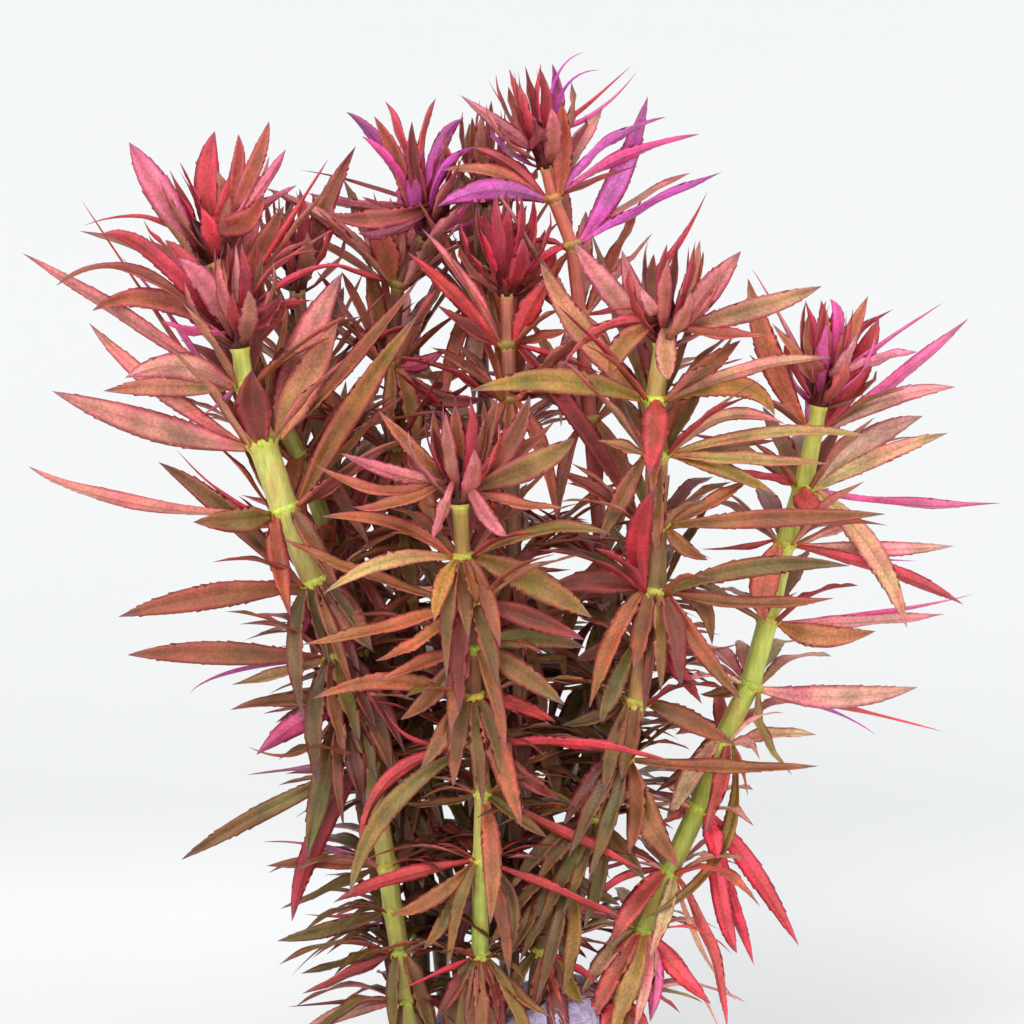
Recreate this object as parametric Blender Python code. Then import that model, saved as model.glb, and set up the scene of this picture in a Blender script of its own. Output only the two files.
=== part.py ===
import math

import bmesh
import bpy
from mathutils import Matrix, Vector
from mathutils.bvhtree import BVHTree

# A bunch of leafy aquarium stems whose cut feet stand in a flat-bottomed plug of rock wool.
#
# Every place on the plant is given on a quarter-millimetre grid laid over the bunch's front view:
# steps right and steps down from the grid's corner, then millimetres back from the middle plane.
# The front view is taken from VIEW_DISTANCE, looking down on the bunch by VIEW_TILT.

MM = 0.001
TINY = 0.000001
GRID_STEP = 0.25 * MM
GRID_MIDDLE = 512
GRID_MIDDLE_HEIGHT = 0.154
VIEW_DISTANCE = 1.9
VIEW_TILT = math.radians(7)
VIEW_BACKWARD = Vector((0, math.cos(VIEW_TILT), -math.sin(VIEW_TILT)))

GAP = 0.35 * MM
STEM_BEVEL_RESOLUTION = 1
AXIS_SPAN = 12
COLLAR_WALL = 1.0 * MM
COLLAR_HEIGHT = 2.4 * MM
COLLAR_FEWEST_SIDES = 6
LOW_BAND = 5
BUD_SIDES = 7
BUD_PROFILE = ((0.0, 2.0), (4.0, 3.0), (9.0, 2.6), (15.0, 1.2))
CROWN_REACH = 2.4 * MM
CROWN_LOWEST_LEAF = 1.5 * MM
CROWN_LEAVES_RISE = 9 * MM

# Along a leaf, t runs from 0 at its base to 1 at its tip.
LEAF_KEEL = 0.9 * MM
KEEL_TAPER = 0.35
OUTLINE_START = 0.2
OUTLINE_POWER = 0.6
LEAF_LEAST_WIDTH = 4.0 * MM
THIN_LEAF_WIDTH = 12
LEAF_STATIONS = (0.34, 0.7)
THIN_LEAF_STATIONS = (0.5,)
ROOT_HALF_WIDTH = 1.4 * MM
ROOT_KEEL = 1.5 * MM
MIDDLE_BACK = 0.55
ROOT_AIM = 0.15
ROOT_CHOICES = 8
ROOT_TRIES = 3
ROOT_COST_SPREAD = 14
ROOT_SHARES = (0.15, 0.3, 0.5)
TURNED_IN_COST = 150
FACING_COST = 25
FACING_WANTED = 0.35
SHOWS_UNDERSIDE = "srcmv"
SPARE_LEAF_LENGTH = 36 * MM
SPARE_LEAF_WIDTH = 5 * MM
SPARE_LENGTH_LEAST = 0.82
SPARE_LENGTH_SPREAD = 0.3
SPARE_LENGTH_RHYTHM = 2.4
# Parts of a spare leaf's length: how far out, how far up when young, and how much lower when old.
SPARE_MIDDLE = (0.5, 0.36, 0.30)
SPARE_TIP = (0.95, 0.62, 0.80)
YOUNGEST_HEIGHT = 270 * MM
CLEARANCE = 0.2 * MM

PLUG_SEGMENTS = 18
PLUG_RINGS = 9
PLUG_RADIUS_ACROSS = 31 * MM
PLUG_RADIUS_DEEP = 27 * MM
PLUG_HEIGHT = 33 * MM
PLUG_HEIGHT_LEFT = 22 * MM
PLUG_SIDE_FULLNESS = 0.55
PLUG_SQUARENESS = 0.72
PLUG_WAVES = ((0.035, 3, 0.6, 0), (0.03, 7, 0, 2))
PLUG_LUMPS = (0.8 * MM, 9, 1, 8)
# Where across the plug, from -1 to 1, its top starts to rise and stops falling, and over what widths.
PLUG_RISE_START = -0.55
PLUG_RISE_WIDTH = 0.8
PLUG_FALL_END = 1
PLUG_FALL_WIDTH = 0.45

# How far a leaf's tip and middle may be moved back, in mm, to pass clear of the leaves it crosses.
SHIFTS = (
    (0, 0), (3, 3), (-3, -3), (0.5, 5), (-0.5, -5), (6, 4), (-6, -4), (9, 8), (-9, -8), (1, 9), (-1, -9),
    (14, 10), (-14, -10), (2, 13), (-2, -13), (19, 15), (-19, -15), (12, 2), (-12, -2),
)
# How far a spare leaf may be turned round its stem, in degrees, for the same reason.
TURNS = (0, 8, -8, 16, -16, 24, -24, 33, -33, 44, -44, 58, -58)

# A stem is rows of right, down, back and the width seen.
# One leaf is (tip right, tip down, middle right, middle down, width seen, tip back, tone).
# Tones s r c m v show the leaf's pink underside, and b o t u d g y its brown or olive upper side.
# A whorl is (steps down its stem, its leaves, bearings in degrees of the spare leaves behind it).
SHOOTS = {
    "left_front": {
        "stem": (
            (240, 348, -10, 16), (245, 385, -10, 19), (262, 443, -10, 28), (285, 510, -11, 27),
            (315, 582, -12, 25), (339, 655, -13, 24), (352, 705, -13, 21), (369, 763, -14, 19),
            (387, 865, -14, 19), (393, 910, -13, 19), (400, 951, -12, 19), (407, 1000, -11, 19),
            (416, 1072, -10, 19),
        ),
        "crown": (
            (101, 235, 155, 255, 17, 0, "c"), (56, 286, 135, 270, 10, -4, "b"),
            (165, 240, 195, 275, 22, 5, "r"), (178, 258, 207, 287, 25, -3, "s"),
            (92, 311, 155, 299, 22, -7, "u"), (161, 321, 197, 331, 9, -9, "m"),
            (232, 292, 235, 320, 14, -12, "r"), (236, 243, 237, 295, 12, 6, "s"),
            (263, 248, 254, 295, 10, 4, "o"), (283, 293, 262, 318, 20, -8, "d"),
            (325, 252, 277, 264, 6, 6, "r"), (370, 279, 315, 268, 8, 0, "c"),
            (313, 300, 280, 304, 10, 2, "r"),
        ),
        "whorls": (
            (385, (
                (22, 253, 120, 312, 15, -4, "s"), (125, 378, 180, 366, 28, -9, "s"),
                (103, 391, 172, 386, 22, 2, "t"), (203, 414, 222, 402, 8, -6, "v"),
                (300, 352, 277, 362, 10, 4, "u"),
            ), (40, 100)),
            (443, (
                (89, 323, 155, 385, 18, 2, "s"), (52, 391, 150, 425, 30, -4, "s"),
                (80, 198, 148, 300, 6, 10, "r"), (119, 255, 180, 330, 8, 7, "v"),
                (252, 370, 253, 408, 36, -14, "d"), (343, 272, 302, 352, 36, 6, "s"),
                (338, 322, 303, 385, 36, 0, "t"), (421, 276, 345, 368, 15, 5, "b"),
            ), ()),
            (510, (
                (28, 466, 125, 500, 13, -6, "s"), (175, 448, 225, 495, 6, 4, "c"),
                (420, 312, 350, 412, 24, -5, "o"), (395, 440, 335, 484, 10, 5, "d"),
                (193, 522, 240, 520, 26, -10, "o"),
            ), (95,)),
            (582, (
                (158, 462, 228, 513, 22, 4, "b"), (118, 617, 207, 597, 26, -7, "u"),
                (372, 650, 346, 613, 32, -13, "b"), (289, 642, 304, 620, 18, 0, "m"),
            ), (30, 90)),
            (655, (
                (127, 655, 215, 653, 24, -5, "u"), (190, 693, 235, 671, 6, 5, "v"),
                (231, 685, 285, 671, 12, -9, "t"), (392, 772, 372, 716, 28, -9, "b"),
            ), (20, 75, 130)),
            (705, (
                (230, 710, 290, 699, 14, 1, "u"), (256, 755, 300, 722, 24, -8, "m"),
                (247, 746, 300, 752, 8, 4, "u"), (307, 858, 322, 785, 24, -10, "o"),
            ), (60, 110)),
        ),
        "low": (
            (763, (
                (246, 775, 305, 768, 8, 6, "v"), (181, 860, 258, 815, 18, -3, "o"),
                (292, 922, 315, 842, 22, -7, "c"),
            ), (20, 95)),
            (865, (
                (266, 866, 325, 862, 14, 0, "u"), (280, 909, 338, 884, 9, 5, "o"),
                (262, 842, 320, 846, 7, 8, "v"),
            ), (60, 130)),
            (910, (
                (277, 941, 330, 929, 16, -5, "o"), (303, 914, 350, 916, 7, 5, "r"),
            ), (40, 80)),
            (951, (
                (300, 974, 348, 961, 10, 2, "o"), (302, 994, 352, 972, 12, -6, "r"),
            ), (50, 120, 200)),
            (1000, (
                (287, 1007, 345, 1002, 7, 3, "d"), (300, 1034, 345, 1012, 16, -6, "s"),
            ), (95, 20)),
        ),
    },
    "left_back": {
        "stem": (
            (213, 262, 10, 15), (232, 300, 10, 15), (283, 425, 10, 17), (300, 457, 10, 17),
            (325, 525, 10, 17), (365, 650, 9, 17), (398, 800, 8, 18), (420, 930, 7, 18),
            (424, 1072, 6, 18),
        ),
        "crown": (
            (215, 131, 207, 185, 27, 4, "r"), (238, 134, 236, 180, 16, 9, "u"),
            (269, 121, 252, 172, 17, 6, "u"), (286, 149, 257, 192, 14, 2, "s"),
            (129, 142, 160, 192, 30, -1, "s"), (161, 178, 185, 207, 10, 6, "c"),
            (83, 226, 145, 217, 7, 3, "r"), (230, 173, 220, 208, 9, -6, "r"),
            (297, 185, 256, 207, 11, 8, "s"), (262, 194, 244, 222, 25, -9, "u"),
        ),
        "whorls": (
            (300, ((284, 206, 262, 248, 22, 7, "u"), (329, 158, 292, 216, 8, 11, "c")), (120, 180)),
            (457, (), (70, 130, 350)),
        ),
        "low": (
            (550, (), (215, 265, 325)), (650, (), (60, 120)), (725, (), (190, 240, 300)),
            (800, (), (95, 160)), (865, (), (210, 260, 320)), (930, (), (70, 130)),
        ),
    },
    "back_left": {
        "stem": (
            (298, 290, 26, 13), (310, 380, 26, 13), (335, 480, 25, 14), (372, 620, 23, 14),
            (410, 800, 20, 15), (438, 930, 17, 15), (452, 1072, 15, 16),
        ),
        "crown": (
            (356, 146, 322, 215, 20, 4, "b"), (262, 222, 280, 250, 12, 6, "u"),
            (330, 235, 312, 258, 10, 9, "o"), (300, 215, 302, 250, 12, 10, "d"),
        ),
        "whorls": ((380, (), (30, 90, 150)),),
        "low": (
            (480, (), (60, 130)), (550, (), (205, 255, 310)), (620, (), (30, 100, 165)),
            (710, (), (230, 285, 345)), (800, (), (70, 130)),
        ),
    },
    "top_left": {
        "stem": (
            (425, 238, 25, 13), (398, 285, 25, 13), (391, 365, 24, 14), (393, 450, 20, 14),
            (405, 600, 16, 15), (430, 780, 10, 15), (455, 930, 6, 16), (472, 1072, 4, 16),
        ),
        "crown": (
            (374, 116, 399, 166, 18, 2, "u"), (385, 101, 405, 147, 10, 7, "r"),
            (346, 112, 386, 151, 14, 5, "v"), (361, 136, 395, 167, 9, 0, "m"),
            (436, 98, 421, 150, 9, 9, "r"), (464, 118, 438, 152, 17, 4, "v"),
            (478, 146, 443, 171, 9, 2, "v"), (412, 121, 415, 172, 16, -6, "d"),
            (362, 197, 396, 209, 9, 0, "d"), (460, 165, 440, 200, 12, -3, "u"),
            (300, 170, 363, 184, 6, 7, "d"), (307, 193, 367, 206, 13, 3, "s"),
            (358, 233, 393, 230, 12, -7, "s"), (323, 211, 375, 219, 20, -2, "b"),
        ),
        "whorls": (
            (285, (
                (265, 188, 337, 227, 15, 1, "s"), (368, 218, 385, 250, 28, -8, "u"),
                (325, 262, 358, 272, 8, -4, "c"), (348, 238, 374, 263, 10, 6, "o"),
                (271, 205, 333, 249, 9, 7, "u"), (458, 238, 430, 264, 14, 4, "d"),
            ), (60,)),
            (365, (
                (446, 349, 420, 364, 16, -6, "m"), (490, 398, 435, 397, 18, -10, "d"),
                (476, 366, 438, 377, 10, 3, "t"),
            ), (100, 150)),
        ),
        "low": (
            (450, (), (60, 120)), (525, (), (215, 270, 325)), (600, (), (80, 140)),
            (690, (), (240, 290, 345)), (780, (), (60, 110)), (930, (), (90,)),
        ),
    },
    "back": {
        "stem": (
            (485, 205, 36, 12), (480, 300, 34, 12), (486, 450, 30, 13), (495, 650, 26, 14),
            (503, 850, 21, 15), (511, 1072, 17, 16),
        ),
        "crown": (
            (472, 117, 476, 160, 15, -7, "o"), (490, 130, 489, 165, 10, 9, "o"),
            (505, 160, 496, 182, 10, 3, "t"), (458, 168, 471, 186, 10, 3, "o"),
        ),
        "whorls": ((300, ((462, 236, 470, 265, 18, 2, "o"), (527, 205, 507, 250, 13, 4, "o")),
                    (60, 120)),),
        "low": (
            (450, (), (45, 90, 135)), (550, (), (200, 250, 310)), (650, (), (30, 80, 150)),
            (750, (), (230, 285, 340)), (850, (), (60, 120)),
        ),
    },
    "top": {
        "stem": (
            (546, 166, 15, 12), (553, 198, 15, 12), (572, 245, 15, 13), (580, 315, 14, 13),
            (590, 420, 13, 14), (597, 500, 12, 15), (603, 560, 12, 15), (598, 680, 11, 16),
            (585, 800, 10, 17), (570, 930, 9, 17), (552, 1072, 9, 18),
        ),
        "crown": (
            (585, 52, 554, 84, 5, 7, "v"), (602, 70, 563, 91, 5, 3, "v"),
            (541, 63, 537, 115, 9, 5, "c"), (509, 68, 525, 120, 12, 2, "u"),
            (488, 80, 514, 122, 5, 8, "c"), (460, 95, 508, 131, 16, -2, "s"),
            (512, 100, 529, 134, 14, -6, "d"), (533, 115, 541, 142, 24, -9, "d"),
            (632, 65, 589, 103, 6, 3, "r"), (638, 70, 596, 112, 6, 7, "m"),
            (515, 119, 530, 144, 10, -5, "r"),
        ),
        "whorls": (
            (198, (
                (561, 99, 563, 150, 20, -7, "u"), (666, 117, 603, 145, 10, 2, "v"),
                (700, 134, 620, 157, 11, 6, "m"), (639, 166, 600, 178, 8, -4, "d"),
                (437, 207, 490, 190, 24, -5, "v"), (440, 170, 496, 172, 14, 2, "u"),
                (470, 147, 511, 165, 14, 7, "c"),
            ), (70,)),
            (245, (
                (648, 96, 618, 180, 24, 2, "v"), (722, 172, 646, 205, 9, 7, "v"),
                (505, 295, 538, 262, 12, -5, "c"), (510, 250, 540, 240, 8, 6, "r"),
            ), (100, 20)),
            (315, ((708, 190, 650, 282, 10, 5, "c"),), (60, 120, 190)),
            (420, ((640, 520, 612, 460, 18, -5, "u"),), (40, 100, 160)),
        ),
        "low": (
            (560, (), (30, 90, 150)), (620, (), (215, 270, 330)), (680, (), (10, 70, 130)),
            (740, (), (240, 300, 350)), (800, (), (40, 100)), (930, (), (60, 20)),
        ),
    },
    "centre": {
        "stem": (
            (507, 294, 5, 12), (508, 345, 4, 13), (511, 400, 2, 13), (514, 560, -1, 15),
            (513, 700, -3, 16), (511, 850, -4, 16), (511, 1072, -4, 17),
        ),
        "crown": (
            (508, 208, 507, 248, 20, -4, "r"), (478, 225, 491, 257, 9, 3, "c"),
            (531, 226, 520, 256, 10, 3, "d"), (497, 232, 500, 262, 12, 6, "c"),
        ),
        "whorls": (
            (345, (
                (407, 252, 458, 298, 16, 0, "c"), (421, 228, 469, 286, 12, 6, "s"),
                (437, 305, 473, 329, 14, -5, "d"), (548, 280, 528, 312, 24, -5, "c"),
                (572, 330, 541, 336, 10, 3, "u"), (607, 376, 559, 357, 8, -3, "c"),
                (633, 511, 583, 427, 18, -8, "d"),
            ), ()),
            (400, ((590, 380, 550, 388, 14, 3, "b"), (452, 372, 480, 386, 12, 2, "d")), (60, 200)),
        ),
        "low": (
            (560, (), (20, 70, 150, 200)), (630, (), (215, 255, 310)), (700, (), (40, 100, 320, 180)),
            (775, (), (225, 270, 330)), (850, (), (30, 130, 320)),
        ),
    },
    "centre_right": {
        "stem": (
            (663, 344, -25, 17), (655, 400, -25, 19), (657, 455, -25, 21), (655, 525, -25, 23),
            (654, 590, -24, 24), (643, 646, -23, 23), (636, 701, -22, 22), (622, 757, -21, 21),
            (590, 816, -19, 20), (561, 871, -17, 20), (541, 950, -15, 19), (530, 1072, -14, 19),
        ),
        "crown": (
            (573, 241, 610, 290, 24, 2, "s"), (622, 250, 636, 296, 20, 6, "s"),
            (700, 240, 688, 290, 16, 7, "t"), (741, 251, 708, 291, 26, 0, "s"),
            (822, 286, 755, 309, 22, -2, "t"), (768, 335, 722, 333, 12, -7, "u"),
            (563, 366, 604, 327, 11, -9, "r"), (611, 380, 621, 347, 22, -11, "y"),
            (669, 380, 666, 355, 22, -12, "t"), (602, 312, 632, 308, 6, -5, "r"),
            (664, 276, 663, 306, 9, 0, "c"), (640, 285, 652, 308, 14, -6, "s"),
        ),
        "whorls": (
            (400, (
                (470, 391, 560, 381, 26, -2, "y"), (540, 262, 582, 331, 26, 7, "t"),
                (741, 340, 702, 371, 20, -4, "b"), (775, 416, 738, 386, 22, 1, "y"),
                (648, 478, 655, 428, 28, -12, "c"), (832, 358, 752, 367, 14, -5, "s"),
            ), (80,)),
            (455, (
                (785, 424, 722, 416, 14, 3, "s"), (873, 437, 768, 432, 13, -2, "t"),
                (829, 464, 745, 458, 14, -5, "t"), (776, 494, 722, 469, 16, -8, "y"),
                (597, 440, 625, 446, 11, 2, "t"), (600, 540, 621, 500, 20, -5, "b"),
                (778, 440, 722, 447, 9, 13, "b"),
            ), (82,)),
            (525, (
                (886, 514, 780, 518, 19, -3, "b"), (708, 560, 682, 546, 16, -7, "b"),
                (748, 480, 713, 500, 14, 4, "b"), (556, 470, 600, 492, 14, 0, "d"),
            ), (60, 140)),
            (590, (
                (850, 566, 755, 567, 20, -2, "g"), (835, 598, 750, 602, 13, -6, "b"),
                (655, 488, 638, 540, 26, -12, "c"), (742, 700, 700, 648, 18, -9, "u"),
                (545, 590, 595, 581, 24, -4, "d"), (712, 645, 701, 604, 18, 3, "b"),
            ), (80, 150)),
            (646, (
                (702, 704, 676, 668, 16, -6, "c"), (575, 660, 606, 650, 20, -2, "d"),
                (600, 722, 614, 688, 20, -7, "g"), (742, 642, 700, 652, 8, 5, "b"),
            ), (70, 130)),
            (701, (
                (735, 745, 688, 720, 22, -4, "b"), (700, 735, 670, 712, 16, 3, "o"),
                (605, 792, 613, 750, 18, -7, "b"), (560, 725, 598, 716, 14, 0, "g"),
            ), (90, 150)),
        ),
        "low": (
            (757, (
                (819, 766, 722, 766, 14, -2, "u"), (680, 868, 645, 815, 30, -8, "u"),
                (590, 830, 590, 792, 22, -5, "o"),
            ), (60, 160)),
            (816, ((645, 880, 622, 850, 18, -6, "b"), (540, 800, 562, 800, 14, 2, "g")), (90, 200)),
            (871, ((505, 962, 531, 915, 15, -7, "o"), (620, 905, 592, 890, 14, 3, "g")), (80, 140)),
            (950, (
                (600, 982, 572, 966, 9, -3, "c"), (583, 1004, 563, 978, 22, -7, "y"),
                (563, 1006, 553, 980, 10, -10, "r"),
            ), (90,)),
        ),
    },
    "right": {
        "stem": (
            (819, 406, 0, 15), (815, 430, 0, 16), (803, 487, 0, 19), (785, 543, -1, 19),
            (768, 620, -1, 20), (750, 685, -2, 20), (722, 740, -3, 20), (698, 809, -4, 20),
            (669, 871, -5, 20), (643, 930, -5, 20), (620, 999, -5, 20), (601, 1072, -5, 20),
        ),
        "crown": (
            (751, 267, 790, 336, 8, 6, "s"), (805, 300, 815, 343, 9, 1, "c"),
            (821, 300, 824, 345, 18, -3, "u"), (830, 299, 838, 330, 14, 5, "m"),
            (868, 296, 848, 342, 18, 1, "u"), (894, 309, 853, 338, 9, 6, "r"),
            (772, 323, 803, 362, 14, -5, "u"), (944, 302, 880, 345, 8, 3, "m"),
            (918, 352, 878, 358, 11, -5, "s"), (858, 332, 842, 364, 12, -7, "s"),
            (818, 344, 818, 372, 24, -9, "d"),
        ),
        "whorls": (
            (430, (
                (748, 278, 770, 355, 26, 1, "u"), (879, 318, 856, 372, 27, -5, "c"),
                (969, 318, 895, 379, 14, -1, "m"), (956, 387, 888, 399, 18, -6, "s"),
                (806, 366, 808, 398, 8, 5, "v"),
            ), (80,)),
            (487, (
                (923, 416, 865, 443, 26, 3, "s"), (948, 433, 880, 456, 18, -4, "t"),
                (1002, 503, 902, 502, 9, -1, "m"), (907, 628, 872, 551, 24, -8, "t"),
                (822, 513, 806, 501, 26, -13, "r"), (735, 470, 772, 477, 10, -5, "c"),
            ), (90, 140)),
            (543, (
                (954, 546, 878, 549, 16, 2, "s"), (918, 561, 860, 557, 5, 6, "v"),
                (964, 605, 892, 571, 14, -3, "c"), (855, 525, 824, 533, 10, 6, "s"),
                (765, 622, 764, 583, 30, -12, "u"), (700, 549, 742, 547, 8, 0, "c"),
            ), (100,)),
            (620, (
                (975, 594, 878, 613, 8, 5, "m"), (945, 614, 868, 620, 12, 0, "s"),
                (876, 631, 820, 636, 24, -6, "u"), (798, 592, 783, 603, 8, 6, "r"),
            ), (90, 150)),
            (685, (
                (918, 687, 838, 697, 24, -5, "s"), (945, 732, 845, 707, 8, 3, "c"),
                (876, 735, 830, 710, 5, 6, "v"), (792, 775, 762, 728, 10, -6, "o"),
                (700, 694, 725, 692, 12, 0, "g"),
            ), (70, 130)),
            (740, (
                (817, 735, 770, 733, 13, -4, "t"), (748, 797, 742, 768, 7, 3, "r"),
                (760, 760, 749, 742, 9, -6, "s"), (645, 918, 720, 850, 13, -9, "o"),
                (655, 792, 690, 765, 12, 0, "b"),
            ), (70, 130)),
            (809, (
                (799, 946, 752, 869, 20, -2, "c"), (754, 965, 732, 898, 14, 3, "c"),
                (737, 953, 722, 905, 18, -6, "c"), (718, 860, 713, 836, 20, -10, "c"),
                (658, 824, 680, 813, 12, 0, "c"), (650, 790, 674, 796, 8, 5, "c"),
            ), (90,)),
        ),
        "low": (
            (871, (
                (553, 950, 602, 890, 10, -10, "c"), (727, 1030, 712, 948, 12, -4, "c"),
                (737, 1002, 699, 944, 7, 1, "t"),
            ), (80, 140)),
            (930, (
                (711, 1004, 675, 967, 20, -4, "c"), (650, 1022, 655, 976, 18, -7, "m"),
                (722, 1036, 690, 975, 8, 3, "t"),
            ), (80, 140)),
            (999, ((650, 1040, 638, 1018, 16, -5, "r"), (600, 1034, 608, 1016, 14, -8, "c")), (80, 20)),
        ),
    },
    "front": {
        "stem": (
            (460, 504, -35, 15), (463, 557, -35, 15), (470, 603, -34, 15), (473, 647, -33, 16),
            (473, 696, -31, 16), (478, 745, -29, 16), (483, 793, -27, 16), (481, 860, -24, 16),
            (480, 956, -21, 17), (484, 1000, -20, 17), (487, 1072, -19, 17),
        ),
        "crown": (
            (455, 405, 457, 450, 20, 4, "u"), (497, 398, 484, 442, 18, 7, "b"),
            (530, 395, 508, 446, 22, 2, "b"), (556, 420, 514, 457, 12, -3, "u"),
            (575, 438, 533, 465, 26, -5, "o"), (565, 508, 516, 502, 11, -9, "u"),
            (378, 410, 416, 452, 16, 2, "u"), (340, 453, 396, 473, 15, -2, "s"),
            (313, 463, 380, 489, 12, -7, "u"), (352, 507, 396, 502, 12, -9, "u"),
            (432, 540, 441, 515, 12, -13, "s"), (508, 536, 487, 517, 16, -13, "s"),
            (500, 445, 480, 471, 9, -8, "t"), (432, 425, 444, 462, 14, -5, "d"),
        ),
        "whorls": (
            (557, (
                (320, 517, 395, 523, 14, -2, "u"), (323, 594, 388, 561, 16, -7, "t"),
                (612, 535, 548, 528, 13, -4, "o"), (434, 622, 442, 586, 18, -12, "y"),
                (592, 618, 535, 583, 30, -8, "o"), (476, 602, 472, 581, 12, -13, "b"),
            ), (60, 120)),
            (603, (
                (283, 538, 350, 567, 12, 3, "u"), (300, 645, 385, 626, 14, -7, "u"),
                (375, 661, 418, 640, 13, -12, "u"), (395, 590, 430, 591, 10, 5, "s"),
                (585, 640, 530, 618, 22, -4, "d"),
            ), (70, 110)),
            (647, (
                (375, 682, 425, 661, 14, -2, "u"), (585, 648, 530, 637, 24, 3, "g"),
                (565, 705, 520, 672, 24, -7, "g"), (400, 720, 436, 690, 20, -8, "b"),
            ), (90, 160)),
            (696, (
                (312, 699, 390, 681, 18, -3, "u"), (522, 828, 500, 757, 24, -11, "u"),
                (556, 722, 520, 706, 16, 2, "c"), (420, 770, 445, 732, 20, -5, "b"),
            ), (90, 140)),
            (745, (
                (361, 855, 387, 780, 14, -7, "c"), (671, 761, 580, 743, 11, -9, "c"),
                (350, 897, 386, 812, 20, -11, "o"), (384, 708, 415, 740, 7, -3, "c"),
                (560, 800, 520, 775, 18, 0, "d"),
            ), (80, 130)),
        ),
        "low": (
            (793, (
                (490, 925, 492, 856, 20, -12, "u"), (643, 870, 582, 840, 11, -15, "c"),
                (400, 803, 440, 802, 9, 1, "b"), (548, 838, 518, 816, 14, -4, "g"),
            ), (80,)),
            (860, (
                (333, 903, 392, 878, 15, -9, "c"), (392, 914, 432, 899, 17, -11, "u"),
                (423, 950, 450, 912, 17, -10, "o"), (622, 918, 566, 893, 10, -7, "c"),
                (503, 965, 512, 908, 16, -6, "g"),
            ), (90,)),
            (956, (
                (400, 990, 440, 972, 8, -5, "c"), (552, 1018, 515, 990, 12, -8, "o"),
                (436, 1020, 455, 988, 14, -8, "d"),
            ), (90, 170)),
        ),
    },
}

# Colours, linear, with roughness.
LEAF_BROWN = ((0.30, 0.10, 0.055), 0.45)
CROWN_ROSE = ((0.42, 0.13, 0.10), 0.45)
STEM_LIME = ((0.45, 0.42, 0.14), 0.4)
ROCK_WOOL = ((0.42, 0.37, 0.47), 0.95)
LOOKS = {"stem": STEM_LIME, "crown": CROWN_ROSE}


def clear_scene():
    for old in list(bpy.data.objects):
        bpy.data.objects.remove(old, do_unlink=True)


def make_collection(name, hidden=False):
    collection = bpy.data.collections.new(name)
    bpy.context.scene.collection.children.link(collection)
    collection.hide_render = hidden
    return collection


def make_material(name, colour, roughness):
    material = bpy.data.materials.new(name)
    material.use_nodes = True
    shader = material.node_tree.nodes["Principled BSDF"]
    shader.inputs["Base Color"].default_value = (*colour, 1)
    shader.inputs["Roughness"].default_value = roughness
    shader.inputs["Metallic"].default_value = 0
    return material


def mesh_object(name, points, faces, collection):
    mesh = bpy.data.meshes.new(name)
    mesh.from_pydata(points, [], faces)
    thing = bpy.data.objects.new(name, mesh)
    collection.objects.link(thing)
    return thing


def place(right, down, back):
    """The point that the front view shows at this grid place, this many mm behind the middle plane."""
    across = (right - GRID_MIDDLE) * GRID_STEP
    rise = (GRID_MIDDLE - down) * GRID_STEP
    slope = math.sin(VIEW_TILT)
    level = math.cos(VIEW_TILT)
    depth = (back * MM - rise * slope) / (level + rise * slope / VIEW_DISTANCE)
    spread = 1 + depth / VIEW_DISTANCE
    height = GRID_MIDDLE_HEIGHT + rise * spread * level - depth * slope
    return Vector((across * spread, back * MM, height))


def stem_row(path, down):
    """A stem's row at this many steps down: right, down, back, width seen."""
    for upper, lower in zip(path, path[1:]):
        if upper[1] <= down <= lower[1]:
            part = (down - upper[1]) / (lower[1] - upper[1])
            return tuple(a + (b - a) * part for a, b in zip(upper, lower))
    return path[0]


def stem_place(path, down):
    return place(*stem_row(path, down)[:3])


def stem_axis(path, down):
    upper = stem_place(path, max(path[0][1], down - AXIS_SPAN))
    lower = stem_place(path, min(path[-1][1], down + AXIS_SPAN))
    return (upper - lower).normalized()


def stem_radius(path, down):
    return stem_row(path, down)[3] * GRID_STEP / 2


def loft(loops, tip=None, halved=True):
    """Points and faces of a closed body through these loops, ending flat or in a tip.

    The faces between two loops have four sides, or are halved into triangles.
    """
    count = len(loops[0])
    points = [point for loop in loops for point in loop]
    faces = [tuple(reversed(range(count)))]
    for row in range(0, (len(loops) - 1) * count, count):
        for i in range(count):
            j = (i + 1) % count
            if halved:
                faces.append((row + i, row + j, row + count + j))
                faces.append((row + i, row + count + j, row + count + i))
            else:
                faces.append((row + i, row + j, row + count + j, row + count + i))
    last = (len(loops) - 1) * count
    if tip is None:
        faces.append(tuple(range(last, last + count)))
    else:
        points.append(tip)
        faces.extend((last + i, last + (i + 1) % count, len(points) - 1) for i in range(count))
    return points, faces


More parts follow.
